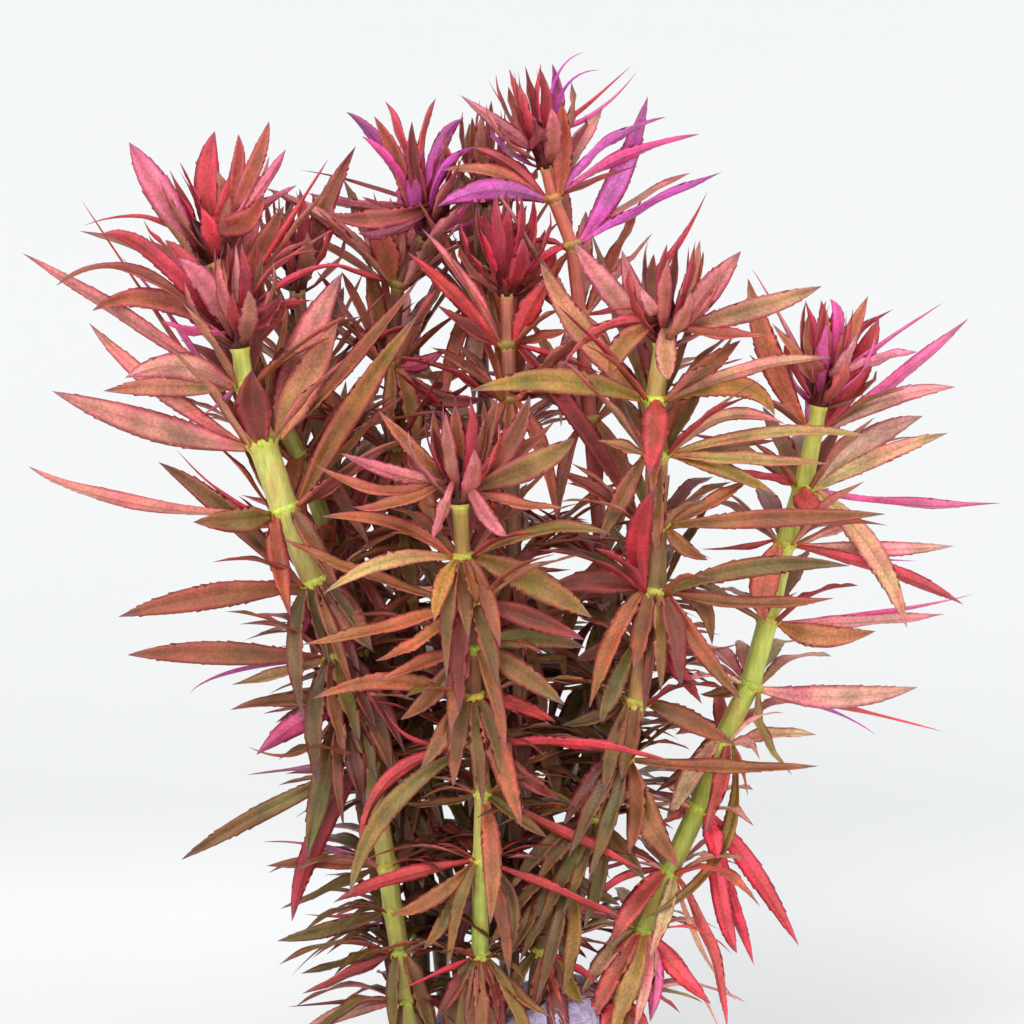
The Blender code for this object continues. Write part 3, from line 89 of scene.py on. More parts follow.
# One leaf is (tip right, tip down, middle right, middle down, width seen, tip back, tone).
# Tones s r c m v show the leaf's pink underside, and b o t u d g y its brown or olive upper side.
# A whorl is (steps down its stem, its leaves, bearings in degrees of the spare leaves behind it).
shoots = {
    "left_front": {
        "stem": (
            (240, 348, -10, 16), (245, 385, -10, 19), (262, 443, -10, 28), (285, 510, -11, 27),
            (315, 582, -12, 25), (339, 655, -13, 24), (352, 705, -13, 21), (369, 763, -14, 19),
            (387, 865, -14, 19), (393, 910, -13, 19), (400, 951, -12, 19), (407, 1000, -11, 19),
            (416, 1072, -10, 19),
        ),
        "crown": (
            (101, 235, 155, 255, 17, 0, "c"), (56, 286, 135, 270, 10, -4, "b"),
            (165, 240, 195, 275, 22, 5, "r"), (178, 258, 207, 287, 25, -3, "s"),
            (92, 311, 155, 299, 22, -7, "u"), (161, 321, 197, 331, 9, -9, "m"),
            (232, 292, 235, 320, 14, -12, "r"), (236, 243, 237, 295, 12, 6, "s"),
            (263, 248, 254, 295, 10, 4, "o"), (283, 293, 262, 318, 20, -8, "d"),
            (325, 252, 277, 264, 6, 6, "r"), (370, 279, 315, 268, 8, 0, "c"),
            (313, 300, 280, 304, 10, 2, "r"),
        ),
        "whorls": (
            (385, (
                (22, 253, 120, 312, 15, -4, "s"), (125, 378, 180, 366, 28, -9, "s"),
                (103, 391, 172, 386, 22, 2, "t"), (203, 414, 222, 402, 8, -6, "v"),
                (300, 352, 277, 362, 10, 4, "u"),
            ), (40, 100)),
            (443, (
                (89, 323, 155, 385, 18, 2, "s"), (52, 391, 150, 425, 30, -4, "s"),
                (80, 198, 148, 300, 6, 10, "r"), (119, 255, 180, 330, 8, 7, "v"),
                (252, 370, 253, 408, 36, -14, "d"), (343, 272, 302, 352, 36, 6, "s"),
                (338, 322, 303, 385, 36, 0, "t"), (421, 276, 345, 368, 15, 5, "b"),
            ), ()),
            (510, (
                (28, 466, 125, 500, 13, -6, "s"), (175, 448, 225, 495, 6, 4, "c"),
                (420, 312, 350, 412, 24, -5, "o"), (395, 440, 335, 484, 10, 5, "d"),
                (193, 522, 240, 520, 26, -10, "o"),
            ), (95,)),
            (582, (
                (158, 462, 228, 513, 22, 4, "b"), (118, 617, 207, 597, 26, -7, "u"),
                (372, 650, 346, 613, 32, -13, "b"), (289, 642, 304, 620, 18, 0, "m"),
            ), (30, 90)),
            (655, (
                (127, 655, 215, 653, 24, -5, "u"), (190, 693, 235, 671, 6, 5, "v"),
                (231, 685, 285, 671, 12, -9, "t"), (392, 772, 372, 716, 28, -9, "b"),
            ), (20, 75, 130)),
            (705, (
                (230, 710, 290, 699, 14, 1, "u"), (256, 755, 300, 722, 24, -8, "m"),
                (247, 746, 300, 752, 8, 4, "u"), (307, 858, 322, 785, 24, -10, "o"),
            ), (60, 110)),
        ),
        "low": (
            (763, (
                (246, 775, 305, 768, 8, 6, "v"), (181, 860, 258, 815, 18, -3, "o"),
                (292, 922, 315, 842, 22, -7, "c"),
            ), (20, 95)),
            (865, (
                (266, 866, 325, 862, 14, 0, "u"), (280, 909, 338, 884, 9, 5, "o"),
                (262, 842, 320, 846, 7, 8, "v"),
            ), (60, 130)),
            (910, (
                (277, 941, 330, 929, 16, -5, "o"), (303, 914, 350, 916, 7, 5, "r"),
            ), (40, 80)),
            (951, (
                (300, 974, 348, 961, 10, 2, "o"), (302, 994, 352, 972, 12, -6, "r"),
            ), (50, 120, 200)),
            (1000, (
                (287, 1007, 345, 1002, 7, 3, "d"), (300, 1034, 345, 1012, 16, -6, "s"),
            ), (95, 20)),
        ),
    },
    "left_back": {
        "stem": (
            (213, 262, 10, 15), (232, 300, 10, 15), (283, 425, 10, 17), (300, 457, 10, 17),
            (325, 525, 10, 17), (365, 650, 9, 17), (398, 800, 8, 18), (420, 930, 7, 18),
            (424, 1072, 6, 18),
        ),
        "crown": (
            (215, 131, 207, 185, 27, 4, "r"), (238, 134, 236, 180, 16, 9, "u"),
            (269, 121, 252, 172, 17, 6, "u"), (286, 149, 257, 192, 14, 2, "s"),
            (129, 142, 160, 192, 30, -1, "s"), (161, 178, 185, 207, 10, 6, "c"),
            (83, 226, 145, 217, 7, 3, "r"), (230, 173, 220, 208, 9, -6, "r"),
            (297, 185, 256, 207, 11, 8, "s"), (262, 194, 244, 222, 25, -9, "u"),
        ),
        "whorls": (
            (300, ((284, 206, 262, 248, 22, 7, "u"), (329, 158, 292, 216, 8, 11, "c")), (120, 180)),
            (457, (), (70, 130, 350)),
        ),
        "low": (
            (550, (), (215, 265, 325)), (650, (), (60, 120)), (725, (), (190, 240, 300)),
            (800, (), (95, 160)), (865, (), (210, 260, 320)), (930, (), (70, 130)),
        ),
    },
    "back_left": {
        "stem": (
            (298, 290, 26, 13), (310, 380, 26, 13), (335, 480, 25, 14), (372, 620, 23, 14),
            (410, 800, 20, 15), (438, 930, 17, 15), (452, 1072, 15, 16),
        ),
        "crown": (
            (356, 146, 322, 215, 20, 4, "b"), (262, 222, 280, 250, 12, 6, "u"),
            (330, 235, 312, 258, 10, 9, "o"), (300, 215, 302, 250, 12, 10, "d"),
        ),
        "whorls": ((380, (), (30, 90, 150)),),
        "low": (
            (480, (), (60, 130)), (550, (), (205, 255, 310)), (620, (), (30, 100, 165)),
            (710, (), (230, 285, 345)), (800, (), (70, 130)),
        ),
    },
    "top_left": {
        "stem": (
            (425, 238, 25, 13), (398, 285, 25, 13), (391, 365, 24, 14), (393, 450, 20, 14),
            (405, 600, 16, 15), (430, 780, 10, 15), (455, 930, 6, 16), (472, 1072, 4, 16),
        ),
        "crown": (
            (374, 116, 399, 166, 18, 2, "u"), (385, 101, 405, 147, 10, 7, "r"),
            (346, 112, 386, 151, 14, 5, "v"), (361, 136, 395, 167, 9, 0, "m"),
            (436, 98, 421, 150, 9, 9, "r"), (464, 118, 438, 152, 17, 4, "v"),
            (478, 146, 443, 171, 9, 2, "v"), (412, 121, 415, 172, 16, -6, "d"),
            (362, 197, 396, 209, 9, 0, "d"), (460, 165, 440, 200, 12, -3, "u"),
            (300, 170, 363, 184, 6, 7, "d"), (307, 193, 367, 206, 13, 3, "s"),
            (358, 233, 393, 230, 12, -7, "s"), (323, 211, 375, 219, 20, -2, "b"),
        ),
        "whorls": (
            (285, (
                (265, 188, 337, 227, 15, 1, "s"), (368, 218, 385, 250, 28, -8, "u"),
                (325, 262, 358, 272, 8, -4, "c"), (348, 238, 374, 263, 10, 6, "o"),
                (271, 205, 333, 249, 9, 7, "u"), (458, 238, 430, 264, 14, 4, "d"),
            ), (60,)),
            (365, (
                (446, 349, 420, 364, 16, -6, "m"), (490, 398, 435, 397, 18, -10, "d"),
                (476, 366, 438, 377, 10, 3, "t"),
            ), (100, 150)),
        ),
        "low": (
            (450, (), (60, 120)), (525, (), (215, 270, 325)), (600, (), (80, 140)),
            (690, (), (240, 290, 345)), (780, (), (60, 110)), (930, (), (90,)),
        ),
    },
    "back": {
        "stem": (
            (485, 205, 36, 12), (480, 300, 34, 12), (486, 450, 30, 13), (495, 650, 26, 14),
            (503, 850, 21, 15), (511, 1072, 17, 16),
        ),
        "crown": (
            (472, 117, 476, 160, 15, -7, "o"), (490, 130, 489, 165, 10, 9, "o"),
            (505, 160, 496, 182, 10, 3, "t"), (458, 168, 471, 186, 10, 3, "o"),
        ),
        "whorls": ((300, ((462, 236, 470, 265, 18, 2, "o"), (527, 205, 507, 250, 13, 4, "o")),
                    (60, 120)),),
        "low": (
            (450, (), (45, 90, 135)), (550, (), (200, 250, 310)), (650, (), (30, 80, 150)),
            (750, (), (230, 285, 340)), (850, (), (60, 120)),
        ),
    },
    "top": {
        "stem": (
            (546, 166, 15, 12), (553, 198, 15, 12), (572, 245, 15, 13), (580, 315, 14, 13),
            (590, 420, 13, 14), (597, 500, 12, 15), (603, 560, 12, 15), (598, 680, 11, 16),
            (585, 800, 10, 17), (570, 930, 9, 17), (552, 1072, 9, 18),
        ),
        "crown": (
            (585, 52, 554, 84, 5, 7, "v"), (602, 70, 563, 91, 5, 3, "v"),
            (541, 63, 537, 115, 9, 5, "c"), (509, 68, 525, 120, 12, 2, "u"),
            (488, 80, 514, 122, 5, 8, "c"), (460, 95, 508, 131, 16, -2, "s"),
            (512, 100, 529, 134, 14, -6, "d"), (533, 115, 541, 142, 24, -9, "d"),
            (632, 65, 589, 103, 6, 3, "r"), (638, 70, 596, 112, 6, 7, "m"),
            (515, 119, 530, 144, 10, -5, "r"),
        ),
        "whorls": (
            (198, (
                (561, 99, 563, 150, 20, -7, "u"), (666, 117, 603, 145, 10, 2, "v"),
                (700, 134, 620, 157, 11, 6, "m"), (639, 166, 600, 178, 8, -4, "d"),
                (437, 207, 490, 190, 24, -5, "v"), (440, 170, 496, 172, 14, 2, "u"),
                (470, 147, 511, 165, 14, 7, "c"),
            ), (70,)),
            (245, (
                (648, 96, 618, 180, 24, 2, "v"), (722, 172, 646, 205, 9, 7, "v"),
                (505, 295, 538, 262, 12, -5, "c"), (510, 250, 540, 240, 8, 6, "r"),
            ), (100, 20)),
            (315, ((708, 190, 650, 282, 10, 5, "c"),), (60, 120, 190)),
            (420, ((640, 520, 612, 460, 18, -5, "u"),), (40, 100, 160)),
        ),
        "low": (
            (560, (), (30, 90, 150)), (620, (), (215, 270, 330)), (680, (), (10, 70, 130)),
            (740, (), (240, 300, 350)), (800, (), (40, 100)), (930, (), (60, 20)),
        ),
    },
    "centre": {
        "stem": (
            (507, 294, 5, 12), (508, 345, 4, 13), (511, 400, 2, 13), (514, 560, -1, 15),
            (513, 700, -3, 16), (511, 850, -4, 16), (511, 1072, -4, 17),
        ),
        "crown": (
            (508, 208, 507, 248, 20, -4, "r"), (478, 225, 491, 257, 9, 3, "c"),
            (531, 226, 520, 256, 10, 3, "d"), (497, 232, 500, 262, 12, 6, "c"),
        ),
        "whorls": (
            (345, (
                (407, 252, 458, 298, 16, 0, "c"), (421, 228, 469, 286, 12, 6, "s"),
                (437, 305, 473, 329, 14, -5, "d"), (548, 280, 528, 312, 24, -5, "c"),
                (572, 330, 541, 336, 10, 3, "u"), (607, 376, 559, 357, 8, -3, "c"),
                (633, 511, 583, 427, 18, -8, "d"),
            ), ()),
            (400, ((590, 380, 550, 388, 14, 3, "b"), (452, 372, 480, 386, 12, 2, "d")), (60, 200)),
        ),
        "low": (
            (560, (), (20, 70, 150, 200)), (630, (), (215, 255, 310)), (700, (), (40, 100, 320, 180)),
            (775, (), (225, 270, 330)), (850, (), (30, 130, 320)),
        ),
    },
    "centre_right": {
        "stem": (
            (663, 344, -25, 17), (655, 400, -25, 19), (657, 455, -25, 21), (655, 525, -25, 23),
            (654, 590, -24, 24), (643, 646, -23, 23), (636, 701, -22, 22), (622, 757, -21, 21),
            (590, 816, -19, 20), (561, 871, -17, 20), (541, 950, -15, 19), (530, 1072, -14, 19),
        ),
        "crown": (
            (573, 241, 610, 290, 24, 2, "s"), (622, 250, 636, 296, 20, 6, "s"),
            (700, 240, 688, 290, 16, 7, "t"), (741, 251, 708, 291, 26, 0, "s"),
            (822, 286, 755, 309, 22, -2, "t"), (768, 335, 722, 333, 12, -7, "u"),
            (563, 366, 604, 327, 11, -9, "r"), (611, 380, 621, 347, 22, -11, "y"),
            (669, 380, 666, 355, 22, -12, "t"), (602, 312, 632, 308, 6, -5, "r"),
            (664, 276, 663, 306, 9, 0, "c"), (640, 285, 652, 308, 14, -6, "s"),
        ),
        "whorls": (
            (400, (
                (470, 391, 560, 381, 26, -2, "y"), (540, 262, 582, 331, 26, 7, "t"),
                (741, 340, 702, 371, 20, -4, "b"), (775, 416, 738, 386, 22, 1, "y"),
                (648, 478, 655, 428, 28, -12, "c"), (832, 358, 752, 367, 14, -5, "s"),
            ), (80,)),
            (455, (
                (785, 424, 722, 416, 14, 3, "s"), (873, 437, 768, 432, 13, -2, "t"),
                (829, 464, 745, 458, 14, -5, "t"), (776, 494, 722, 469, 16, -8, "y"),
                (597, 440, 625, 446, 11, 2, "t"), (600, 540, 621, 500, 20, -5, "b"),
                (778, 440, 722, 447, 9, 13, "b"),
            ), (82,)),
            (525, (
                (886, 514, 780, 518, 19, -3, "b"), (708, 560, 682, 546, 16, -7, "b"),
                (748, 480, 713, 500, 14, 4, "b"), (556, 470, 600, 492, 14, 0, "d"),
            ), (60, 140)),
            (590, (
                (850, 566, 755, 567, 20, -2, "g"), (835, 598, 750, 602, 13, -6, "b"),
                (655, 488, 638, 540, 26, -12, "c"), (742, 700, 700, 648, 18, -9, "u"),
                (545, 590, 595, 581, 24, -4, "d"), (712, 645, 701, 604, 18, 3, "b"),
            ), (80, 150)),
            (646, (
                (702, 704, 676, 668, 16, -6, "c"), (575, 660, 606, 650, 20, -2, "d"),
                (600, 722, 614, 688, 20, -7, "g"), (742, 642, 700, 652, 8, 5, "b"),
            ), (70, 130)),
            (701, (
                (735, 745, 688, 720, 22, -4, "b"), (700, 735, 670, 712, 16, 3, "o"),
                (605, 792, 613, 750, 18, -7, "b"), (560, 725, 598, 716, 14, 0, "g"),
            ), (90, 150)),
        ),
        "low": (
            (757, (
                (819, 766, 722, 766, 14, -2, "u"), (680, 868, 645, 815, 30, -8, "u"),
                (590, 830, 590, 792, 22, -5, "o"),
            ), (60, 160)),
            (816, ((645, 880, 622, 850, 18, -6, "b"), (540, 800, 562, 800, 14, 2, "g")), (90, 200)),
            (871, ((505, 962, 531, 915, 15, -7, "o"), (620, 905, 592, 890, 14, 3, "g")), (80, 140)),
            (950, (
                (600, 982, 572, 966, 9, -3, "c"), (583, 1004, 563, 978, 22, -7, "y"),
                (563, 1006, 553, 980, 10, -10, "r"),
            ), (90,)),
        ),
    },
    "right": {
        "stem": (
            (819, 406, 0, 15), (815, 430, 0, 16), (803, 487, 0, 19), (785, 543, -1, 19),
            (768, 620, -1, 20), (750, 685, -2, 20), (722, 740, -3, 20), (698, 809, -4, 20),
            (669, 871, -5, 20), (643, 930, -5, 20), (620, 999, -5, 20), (601, 1072, -5, 20),
        ),
        "crown": (
            (751, 267, 790, 336, 8, 6, "s"), (805, 300, 815, 343, 9, 1, "c"),
            (821, 300, 824, 345, 18, -3, "u"), (830, 299, 838, 330, 14, 5, "m"),
            (868, 296, 848, 342, 18, 1, "u"), (894, 309, 853, 338, 9, 6, "r"),
            (772, 323, 803, 362, 14, -5, "u"), (944, 302, 880, 345, 8, 3, "m"),
            (918, 352, 878, 358, 11, -5, "s"), (858, 332, 842, 364, 12, -7, "s"),
            (818, 344, 818, 372, 24, -9, "d"),
        ),
        "whorls": (
            (430, (
                (748, 278, 770, 355, 26, 1, "u"), (879, 318, 856, 372, 27, -5, "c"),
                (969, 318, 895, 379, 14, -1, "m"), (956, 387, 888, 399, 18, -6, "s"),
                (806, 366, 808, 398, 8, 5, "v"),
            ), (80,)),
            (487, (
                (923, 416, 865, 443, 26, 3, "s"), (948, 433, 880, 456, 18, -4, "t"),
                (1002, 503, 902, 502, 9, -1, "m"), (907, 628, 872, 551, 24, -8, "t"),
                (822, 513, 806, 501, 26, -13, "r"), (735, 470, 772, 477, 10, -5, "c"),
            ), (90, 140)),
            (543, (
                (954, 546, 878, 549, 16, 2, "s"), (918, 561, 860, 557, 5, 6, "v"),
                (964, 605, 892, 571, 14, -3, "c"), (855, 525, 824, 533, 10, 6, "s"),
                (765, 622, 764, 583, 30, -12, "u"), (700, 549, 742, 547, 8, 0, "c"),
            ), (100,)),
            (620, (
                (975, 594, 878, 613, 8, 5, "m"), (945, 614, 868, 620, 12, 0, "s"),
                (876, 631, 820, 636, 24, -6, "u"), (798, 592, 783, 603, 8, 6, "r"),
            ), (90, 150)),
            (685, (
                (918, 687, 838, 697, 24, -5, "s"), (945, 732, 845, 707, 8, 3, "c"),
                (876, 735, 830, 710, 5, 6, "v"), (792, 775, 762, 728, 10, -6, "o"),
                (700, 694, 725, 692, 12, 0, "g"),
            ), (70, 130)),
            (740, (
                (817, 735, 770, 733, 13, -4, "t"), (748, 797, 742, 768, 7, 3, "r"),
                (760, 760, 749, 742, 9, -6, "s"), (645, 918, 720, 850, 13, -9, "o"),
                (655, 792, 690, 765, 12, 0, "b"),
            ), (70, 130)),
            (809, (
                (799, 946, 752, 869, 20, -2, "c"), (754, 965, 732, 898, 14, 3, "c"),
                (737, 953, 722, 905, 18, -6, "c"), (718, 860, 713, 836, 20, -10, "c"),
                (658, 824, 680, 813, 12, 0, "c"), (650, 790, 674, 796, 8, 5, "c"),
            ), (90,)),
        ),
        "low": (
            (871, (
                (553, 950, 602, 890, 10, -10, "c"), (727, 1030, 712, 948, 12, -4, "c"),
                (737, 1002, 699, 944, 7, 1, "t"),
            ), (80, 140)),
            (930, (
                (711, 1004, 675, 967, 20, -4, "c"), (650, 1022, 655, 976, 18, -7, "m"),
                (722, 1036, 690, 975, 8, 3, "t"),
            ), (80, 140)),
            (999, ((650, 1040, 638, 1018, 16, -5, "r"), (600, 1034, 608, 1016, 14, -8, "c")), (80, 20)),
        ),
    },
    "front": {
        "stem": (
            (460, 504, -35, 15), (463, 557, -35, 15), (470, 603, -34, 15), (473, 647, -33, 16),
            (473, 696, -31, 16), (478, 745, -29, 16), (483, 793, -27, 16), (481, 860, -24, 16),
            (480, 956, -21, 17), (484, 1000, -20, 17), (487, 1072, -19, 17),
        ),
        "crown": (
            (455, 405, 457, 450, 20, 4, "u"), (497, 398, 484, 442, 18, 7, "b"),
            (530, 395, 508, 446, 22, 2, "b"), (556, 420, 514, 457, 12, -3, "u"),
            (575, 438, 533, 465, 26, -5, "o"), (565, 508, 516, 502, 11, -9, "u"),
            (378, 410, 416, 452, 16, 2, "u"), (340, 453, 396, 473, 15, -2, "s"),
            (313, 463, 380, 489, 12, -7, "u"), (352, 507, 396, 502, 12, -9, "u"),
            (432, 540, 441, 515, 12, -13, "s"), (508, 536, 487, 517, 16, -13, "s"),
            (500, 445, 480, 471, 9, -8, "t"), (432, 425, 444, 462, 14, -5, "d"),
        ),
        "whorls": (
            (557, (
                (320, 517, 395, 523, 14, -2, "u"), (323, 594, 388, 561, 16, -7, "t"),
                (612, 535, 548, 528, 13, -4, "o"), (434, 622, 442, 586, 18, -12, "y"),
                (592, 618, 535, 583, 30, -8, "o"), (476, 602, 472, 581, 12, -13, "b"),
            ), (60, 120)),
            (603, (
                (283, 538, 350, 567, 12, 3, "u"), (300, 645, 385, 626, 14, -7, "u"),
                (375, 661, 418, 640, 13, -12, "u"), (395, 590, 430, 591, 10, 5, "s"),
                (585, 640, 530, 618, 22, -4, "d"),
            ), (70, 110)),
            (647, (
                (375, 682, 425, 661, 14, -2, "u"), (585, 648, 530, 637, 24, 3, "g"),
                (565, 705, 520, 672, 24, -7, "g"), (400, 720, 436, 690, 20, -8, "b"),
            ), (90, 160)),
            (696, (
                (312, 699, 390, 681, 18, -3, "u"), (522, 828, 500, 757, 24, -11, "u"),
                (556, 722, 520, 706, 16, 2, "c"), (420, 770, 445, 732, 20, -5, "b"),
            ), (90, 140)),
            (745, (
                (361, 855, 387, 780, 14, -7, "c"), (671, 761, 580, 743, 11, -9, "c"),
                (350, 897, 386, 812, 20, -11, "o"), (384, 708, 415, 740, 7, -3, "c"),
                (560, 800, 520, 775, 18, 0, "d"),
            ), (80, 130)),
        ),
        "low": (
            (793, (
                (490, 925, 492, 856, 20, -12, "u"), (643, 870, 582, 840, 11, -15, "c"),
                (400, 803, 440, 802, 9, 1, "b"), (548, 838, 518, 816, 14, -4, "g"),
            ), (80,)),
            (860, (
                (333, 903, 392, 878, 15, -9, "c"), (392, 914, 432, 899, 17, -11, "u"),
                (423, 950, 450, 912, 17, -10, "o"), (622, 918, 566, 893, 10, -7, "c"),
                (503, 965, 512, 908, 16, -6, "g"),
            ), (90,)),
            (956, (
                (400, 990, 440, 972, 8, -5, "c"), (552, 1018, 515, 990, 12, -8, "o"),
                (436, 1020, 455, 988, 14, -8, "d"),
            ), (90, 170)),
        ),
    },
}

# Directions and places on the plant

def held(value):  # kept from 0 to 1
    return max(0, min(1, value))


def mixed(first, second, share):
    return tuple(a + (b - a) * share for a, b in zip(first, second))


def pick(chance, least, more):  # at random, from the least to the least and more
    return least + more * chance.random()


def compass(angle):  # a level direction
    return Vector((math.cos(angle), math.sin(angle), 0))


def squareTo(axis, direction):
    return (direction - direction.dot(axis) * axis).normalized()


def besides(axis):  # two directions square to an axis
    side = axis.cross(Vector((0, 1, 0))).normalized()
    return side, side.cross(axis)


def around(side, deep, angle):
    return math.cos(angle) * side + math.sin(angle) * deep


def place(right, down, back):
    across = (right - view["gridMiddle"]) * view["gridStep"]
    rise = (view["gridMiddle"] - down) * view["gridStep"]
    slope, level = math.sin(view["tilt"]), math.cos(view["tilt"])
    depth = (back * mm - rise * slope) / (level + rise * slope / view["distance"])
    spread = 1 + depth / view["distance"]
    height = view["middleHeight"] + rise * spread * level - depth * slope
    return Vector((across * spread, back * mm, height))


def stemRow(path, down):
    for upper, lower in zip(path, path[1:]):
        if upper[1] <= down <= lower[1]:
            return mixed(upper, lower, (down - upper[1]) / (lower[1] - upper[1]))
    return path[0]


def stemPlace(path, down):
    return place(*stemRow(path, down)[:3])


def stemAxis(path, down):
    upper = stemPlace(path, max(path[0][1], down - solid["axisSpan"]))
    lower = stemPlace(path, min(path[-1][1], down + solid["axisSpan"]))
    return (upper - lower).normalized()


def stemRadius(path, down):
    return stemRow(path, down)[3] * view["gridStep"] / 2


def ageAt(hub):  # leaves hang lower, the older they are
    return 1 - min(1, hub.z / solid["youngestHeight"])


def tipsOf(node):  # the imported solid's corners, to look a leaf's tip up in
    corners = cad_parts[node].data.vertices
    tree = KDTree(len(corners))
    for number, corner in enumerate(corners):
        tree.insert(corner.co, number)
    tree.balance()
    return tree


def seenLeaf(tree, hub, axis, reach, row):
    right, down, middleRight, middleDown, seenWidth, back, tone = row
    for farther, middleFarther in shifts:
        tip = place(right, down, hub.y / mm + back + farther)
        if tree.find(tip)[2] < solid["tipMatch"]:
            middleBack = hub.y / mm + solid["middleBack"] * back + middleFarther
            middle = place(middleRight, middleDown, middleBack)
            seen = seenWidth * view["gridStep"]
            width = max(seen, solid["leastWidth"])
            if seenWidth < bladeLook["threadBelow"]:  # a thread-like leaf is narrower than its solid
                width = seen * bladeLook["threadWidth"]
            return {"base": hub + squareTo(axis, middle - hub) * reach, "middle": middle, "tip": tip,
                    "width": width, "turned": (-1 if tone in pinkTones else 1, seen / width), "tone": tone,
                    "turnedAt": solid["turnedAt"][seenWidth < solid["thinLeaf"]]}
    print("  no solid leaf for", row)
    return None


def spareLeaf(tree, hub, axis, reach, bearing):
    varies = solid["spareVaries"] * math.sin(solid["spareTurns"] * bearing) ** 2
    length = solid["spareLength"] * (solid["spareShortest"] + varies)
    for turn in turns:
        flat = compass(math.radians(bearing + turn))
        middle, tip = [hub + length * (out * flat + Vector((0, 0, up - lower * ageAt(hub))))
                       for out, up, lower in (solid["spareMiddle"], solid["spareTip"])]
        if tree.find(tip)[2] < solid["tipMatch"]:
            return {"base": hub + squareTo(axis, flat) * reach, "middle": middle, "tip": tip,
                    "width": solid["spareWidth"], "turned": None, "tone": ""}
    print("  no solid spare leaf at", bearing)
    return None


# Colours of the leaves

def paint(*levels):  # from the 0 to 255 of a colour picker
    return tuple(level / 255 / 12.92 if level <= 10 else ((level / 255 + 0.055) / 1.055) ** 2.4
                 for level in levels)


tones = {
    "s": paint(222, 140, 134), "r": paint(206, 72, 74), "c": paint(208, 46, 72),
    "m": paint(228, 82, 142), "v": paint(202, 82, 178), "b": paint(152, 92, 58),
    "o": paint(148, 110, 54), "t": paint(200, 146, 108), "u": paint(182, 102, 68),
    "d": paint(136, 58, 50), "g": paint(126, 94, 50), "y": paint(172, 132, 62),
}
otherSide = {  # the tone of the side that a leaf hides
    "s": "u", "r": "u", "c": "b", "m": "u", "v": "b", "b": "s", "o": "r", "t": "s", "u": "s", "d": "c",
    "g": "r", "y": "s",
}
pinkTones = "srcmv"
brightTones = {"r": "u", "c": "u", "m": "s", "v": "s"}  # each with the tone that it drifts towards

upperSpares = ((0.19, "usbbsu"), (0.13, "ubobdg"))
spareMix = (*upperSpares, (0.06, "bogdgb"), (0, "dgobgo"))  # heights, with the tones above each
rightMix = (*upperSpares, (0.12, "bogdgb"), (0.08, "susutyr"), (0, "tsyturs"))

shootLightAndTint = {  # painted light where a shoot stands clear of the others, with pinker hues of its own
    "right": (1.3, 1.42, 1.76), "centre_right": (1.06, 1.0, 0.92), "left_front": (1.02, 0.87, 0.97),
    "left_back": (1.12, 0.88, 1.06), "top": (1.12, 1.04, 1.3), "front": (1.06, 0.98, 0.96),
    "top_left": (1.0, 0.86, 1.04), "centre": (1.26, 0.88, 1.1), "back_left": (1.16, 1.04, 1.2),
}
lowTint = {  # for the old leaves below mid-height
    "left_front": (0.72, 0.84, 0.84), "centre_right": (0.82, 0.9, 0.86), "right": (1.14, 1.08, 1.12),
}
noTint = (1, 1, 1)
behind = ("left_back", "back_left", "top_left", "back", "top", "centre")
tintLook = {
    "shadedBelow": 0.16, "shadedOver": 0.05, "shade": (0.38, 0.2, 0.36),
    "oldBelow": 0.155, "oldOver": 0.02,
    "youngAbove": 0.165, "youngOver": 0.04, "younger": (0.02, -0.03, 0.14),
    "drift": 0.34, "oldLight": 0.74, "ageing": 0.26, "agedBelow": 0.15,
    "hiddenPink": 0.68, "hiddenBrown": 0.5, "hiddenLight": 0.92, "varies": 0.12,
}


def spareTones(shoot, height):  # darker and browner towards the foot of the bunch
    mix = rightMix if shoot == "right" else spareMix
    return next(choices for above, choices in mix if height > above)


def tintAt(shoot, height):  # painted shade: the shoots behind are darker and greener where the others shade them; each shoot's painted light and tint are in it too
    shaded = held((tintLook["shadedBelow"] - height) / tintLook["shadedOver"]) if shoot in behind else 0
    old = held((tintLook["oldBelow"] - height) / tintLook["oldOver"])
    young = held((height - tintLook["youngAbove"]) / tintLook["youngOver"])
    own, low = shootLightAndTint.get(shoot, noTint), lowTint.get(shoot, noTint)
    return tuple(part * (1 - shaded * by) * (1 + old * (lower - 1)) * (1 + young * more)
                 for part, by, lower, more in zip(own, tintLook["shade"], low, tintLook["younger"]))


def varied(colour, chance, much=tintLook["varies"]):
    light = 1 + (chance.random() - 0.5) * 2 * much
    return tuple(part * light * (1 + (chance.random() - 0.5) * much) for part in colour)


def dress(leaf, chance, lightAndTint, choices=""):  # gives a leaf the colours of its upper side and underside
    tone = leaf["tone"] or chance.choice(choices)
    shown, hidden = tones[tone], tones[otherSide[tone]]
    if tone in brightTones:
        shown = mixed(shown, tones[brightTones[tone]], tintLook["drift"] * chance.random())
    aged, share = 1, tintLook["hiddenPink"]
    if tone not in pinkTones:  # old leaves are darker
        aged = tintLook["oldLight"] + tintLook["ageing"] * min(1, leaf["base"].z / tintLook["agedBelow"])
        share = tintLook["hiddenBrown"]
    # the tint holds painted light and painted shade as well as hue
    shown = tuple(part * aged * by for part, by in zip(shown, lightAndTint))
    hidden = tuple((share * part + (1 - share) * other * aged) * tintLook["hiddenLight"]
                   for part, other in zip(shown, hidden))
    upper, under = (hidden, shown) if tone in pinkTones else (shown, hidden)
    leaf["colours"] = [varied(upper, chance), varied(under, chance)]
    return leaf


# A sheet gathers the faces of one piece, with their colours and leaf coordinates

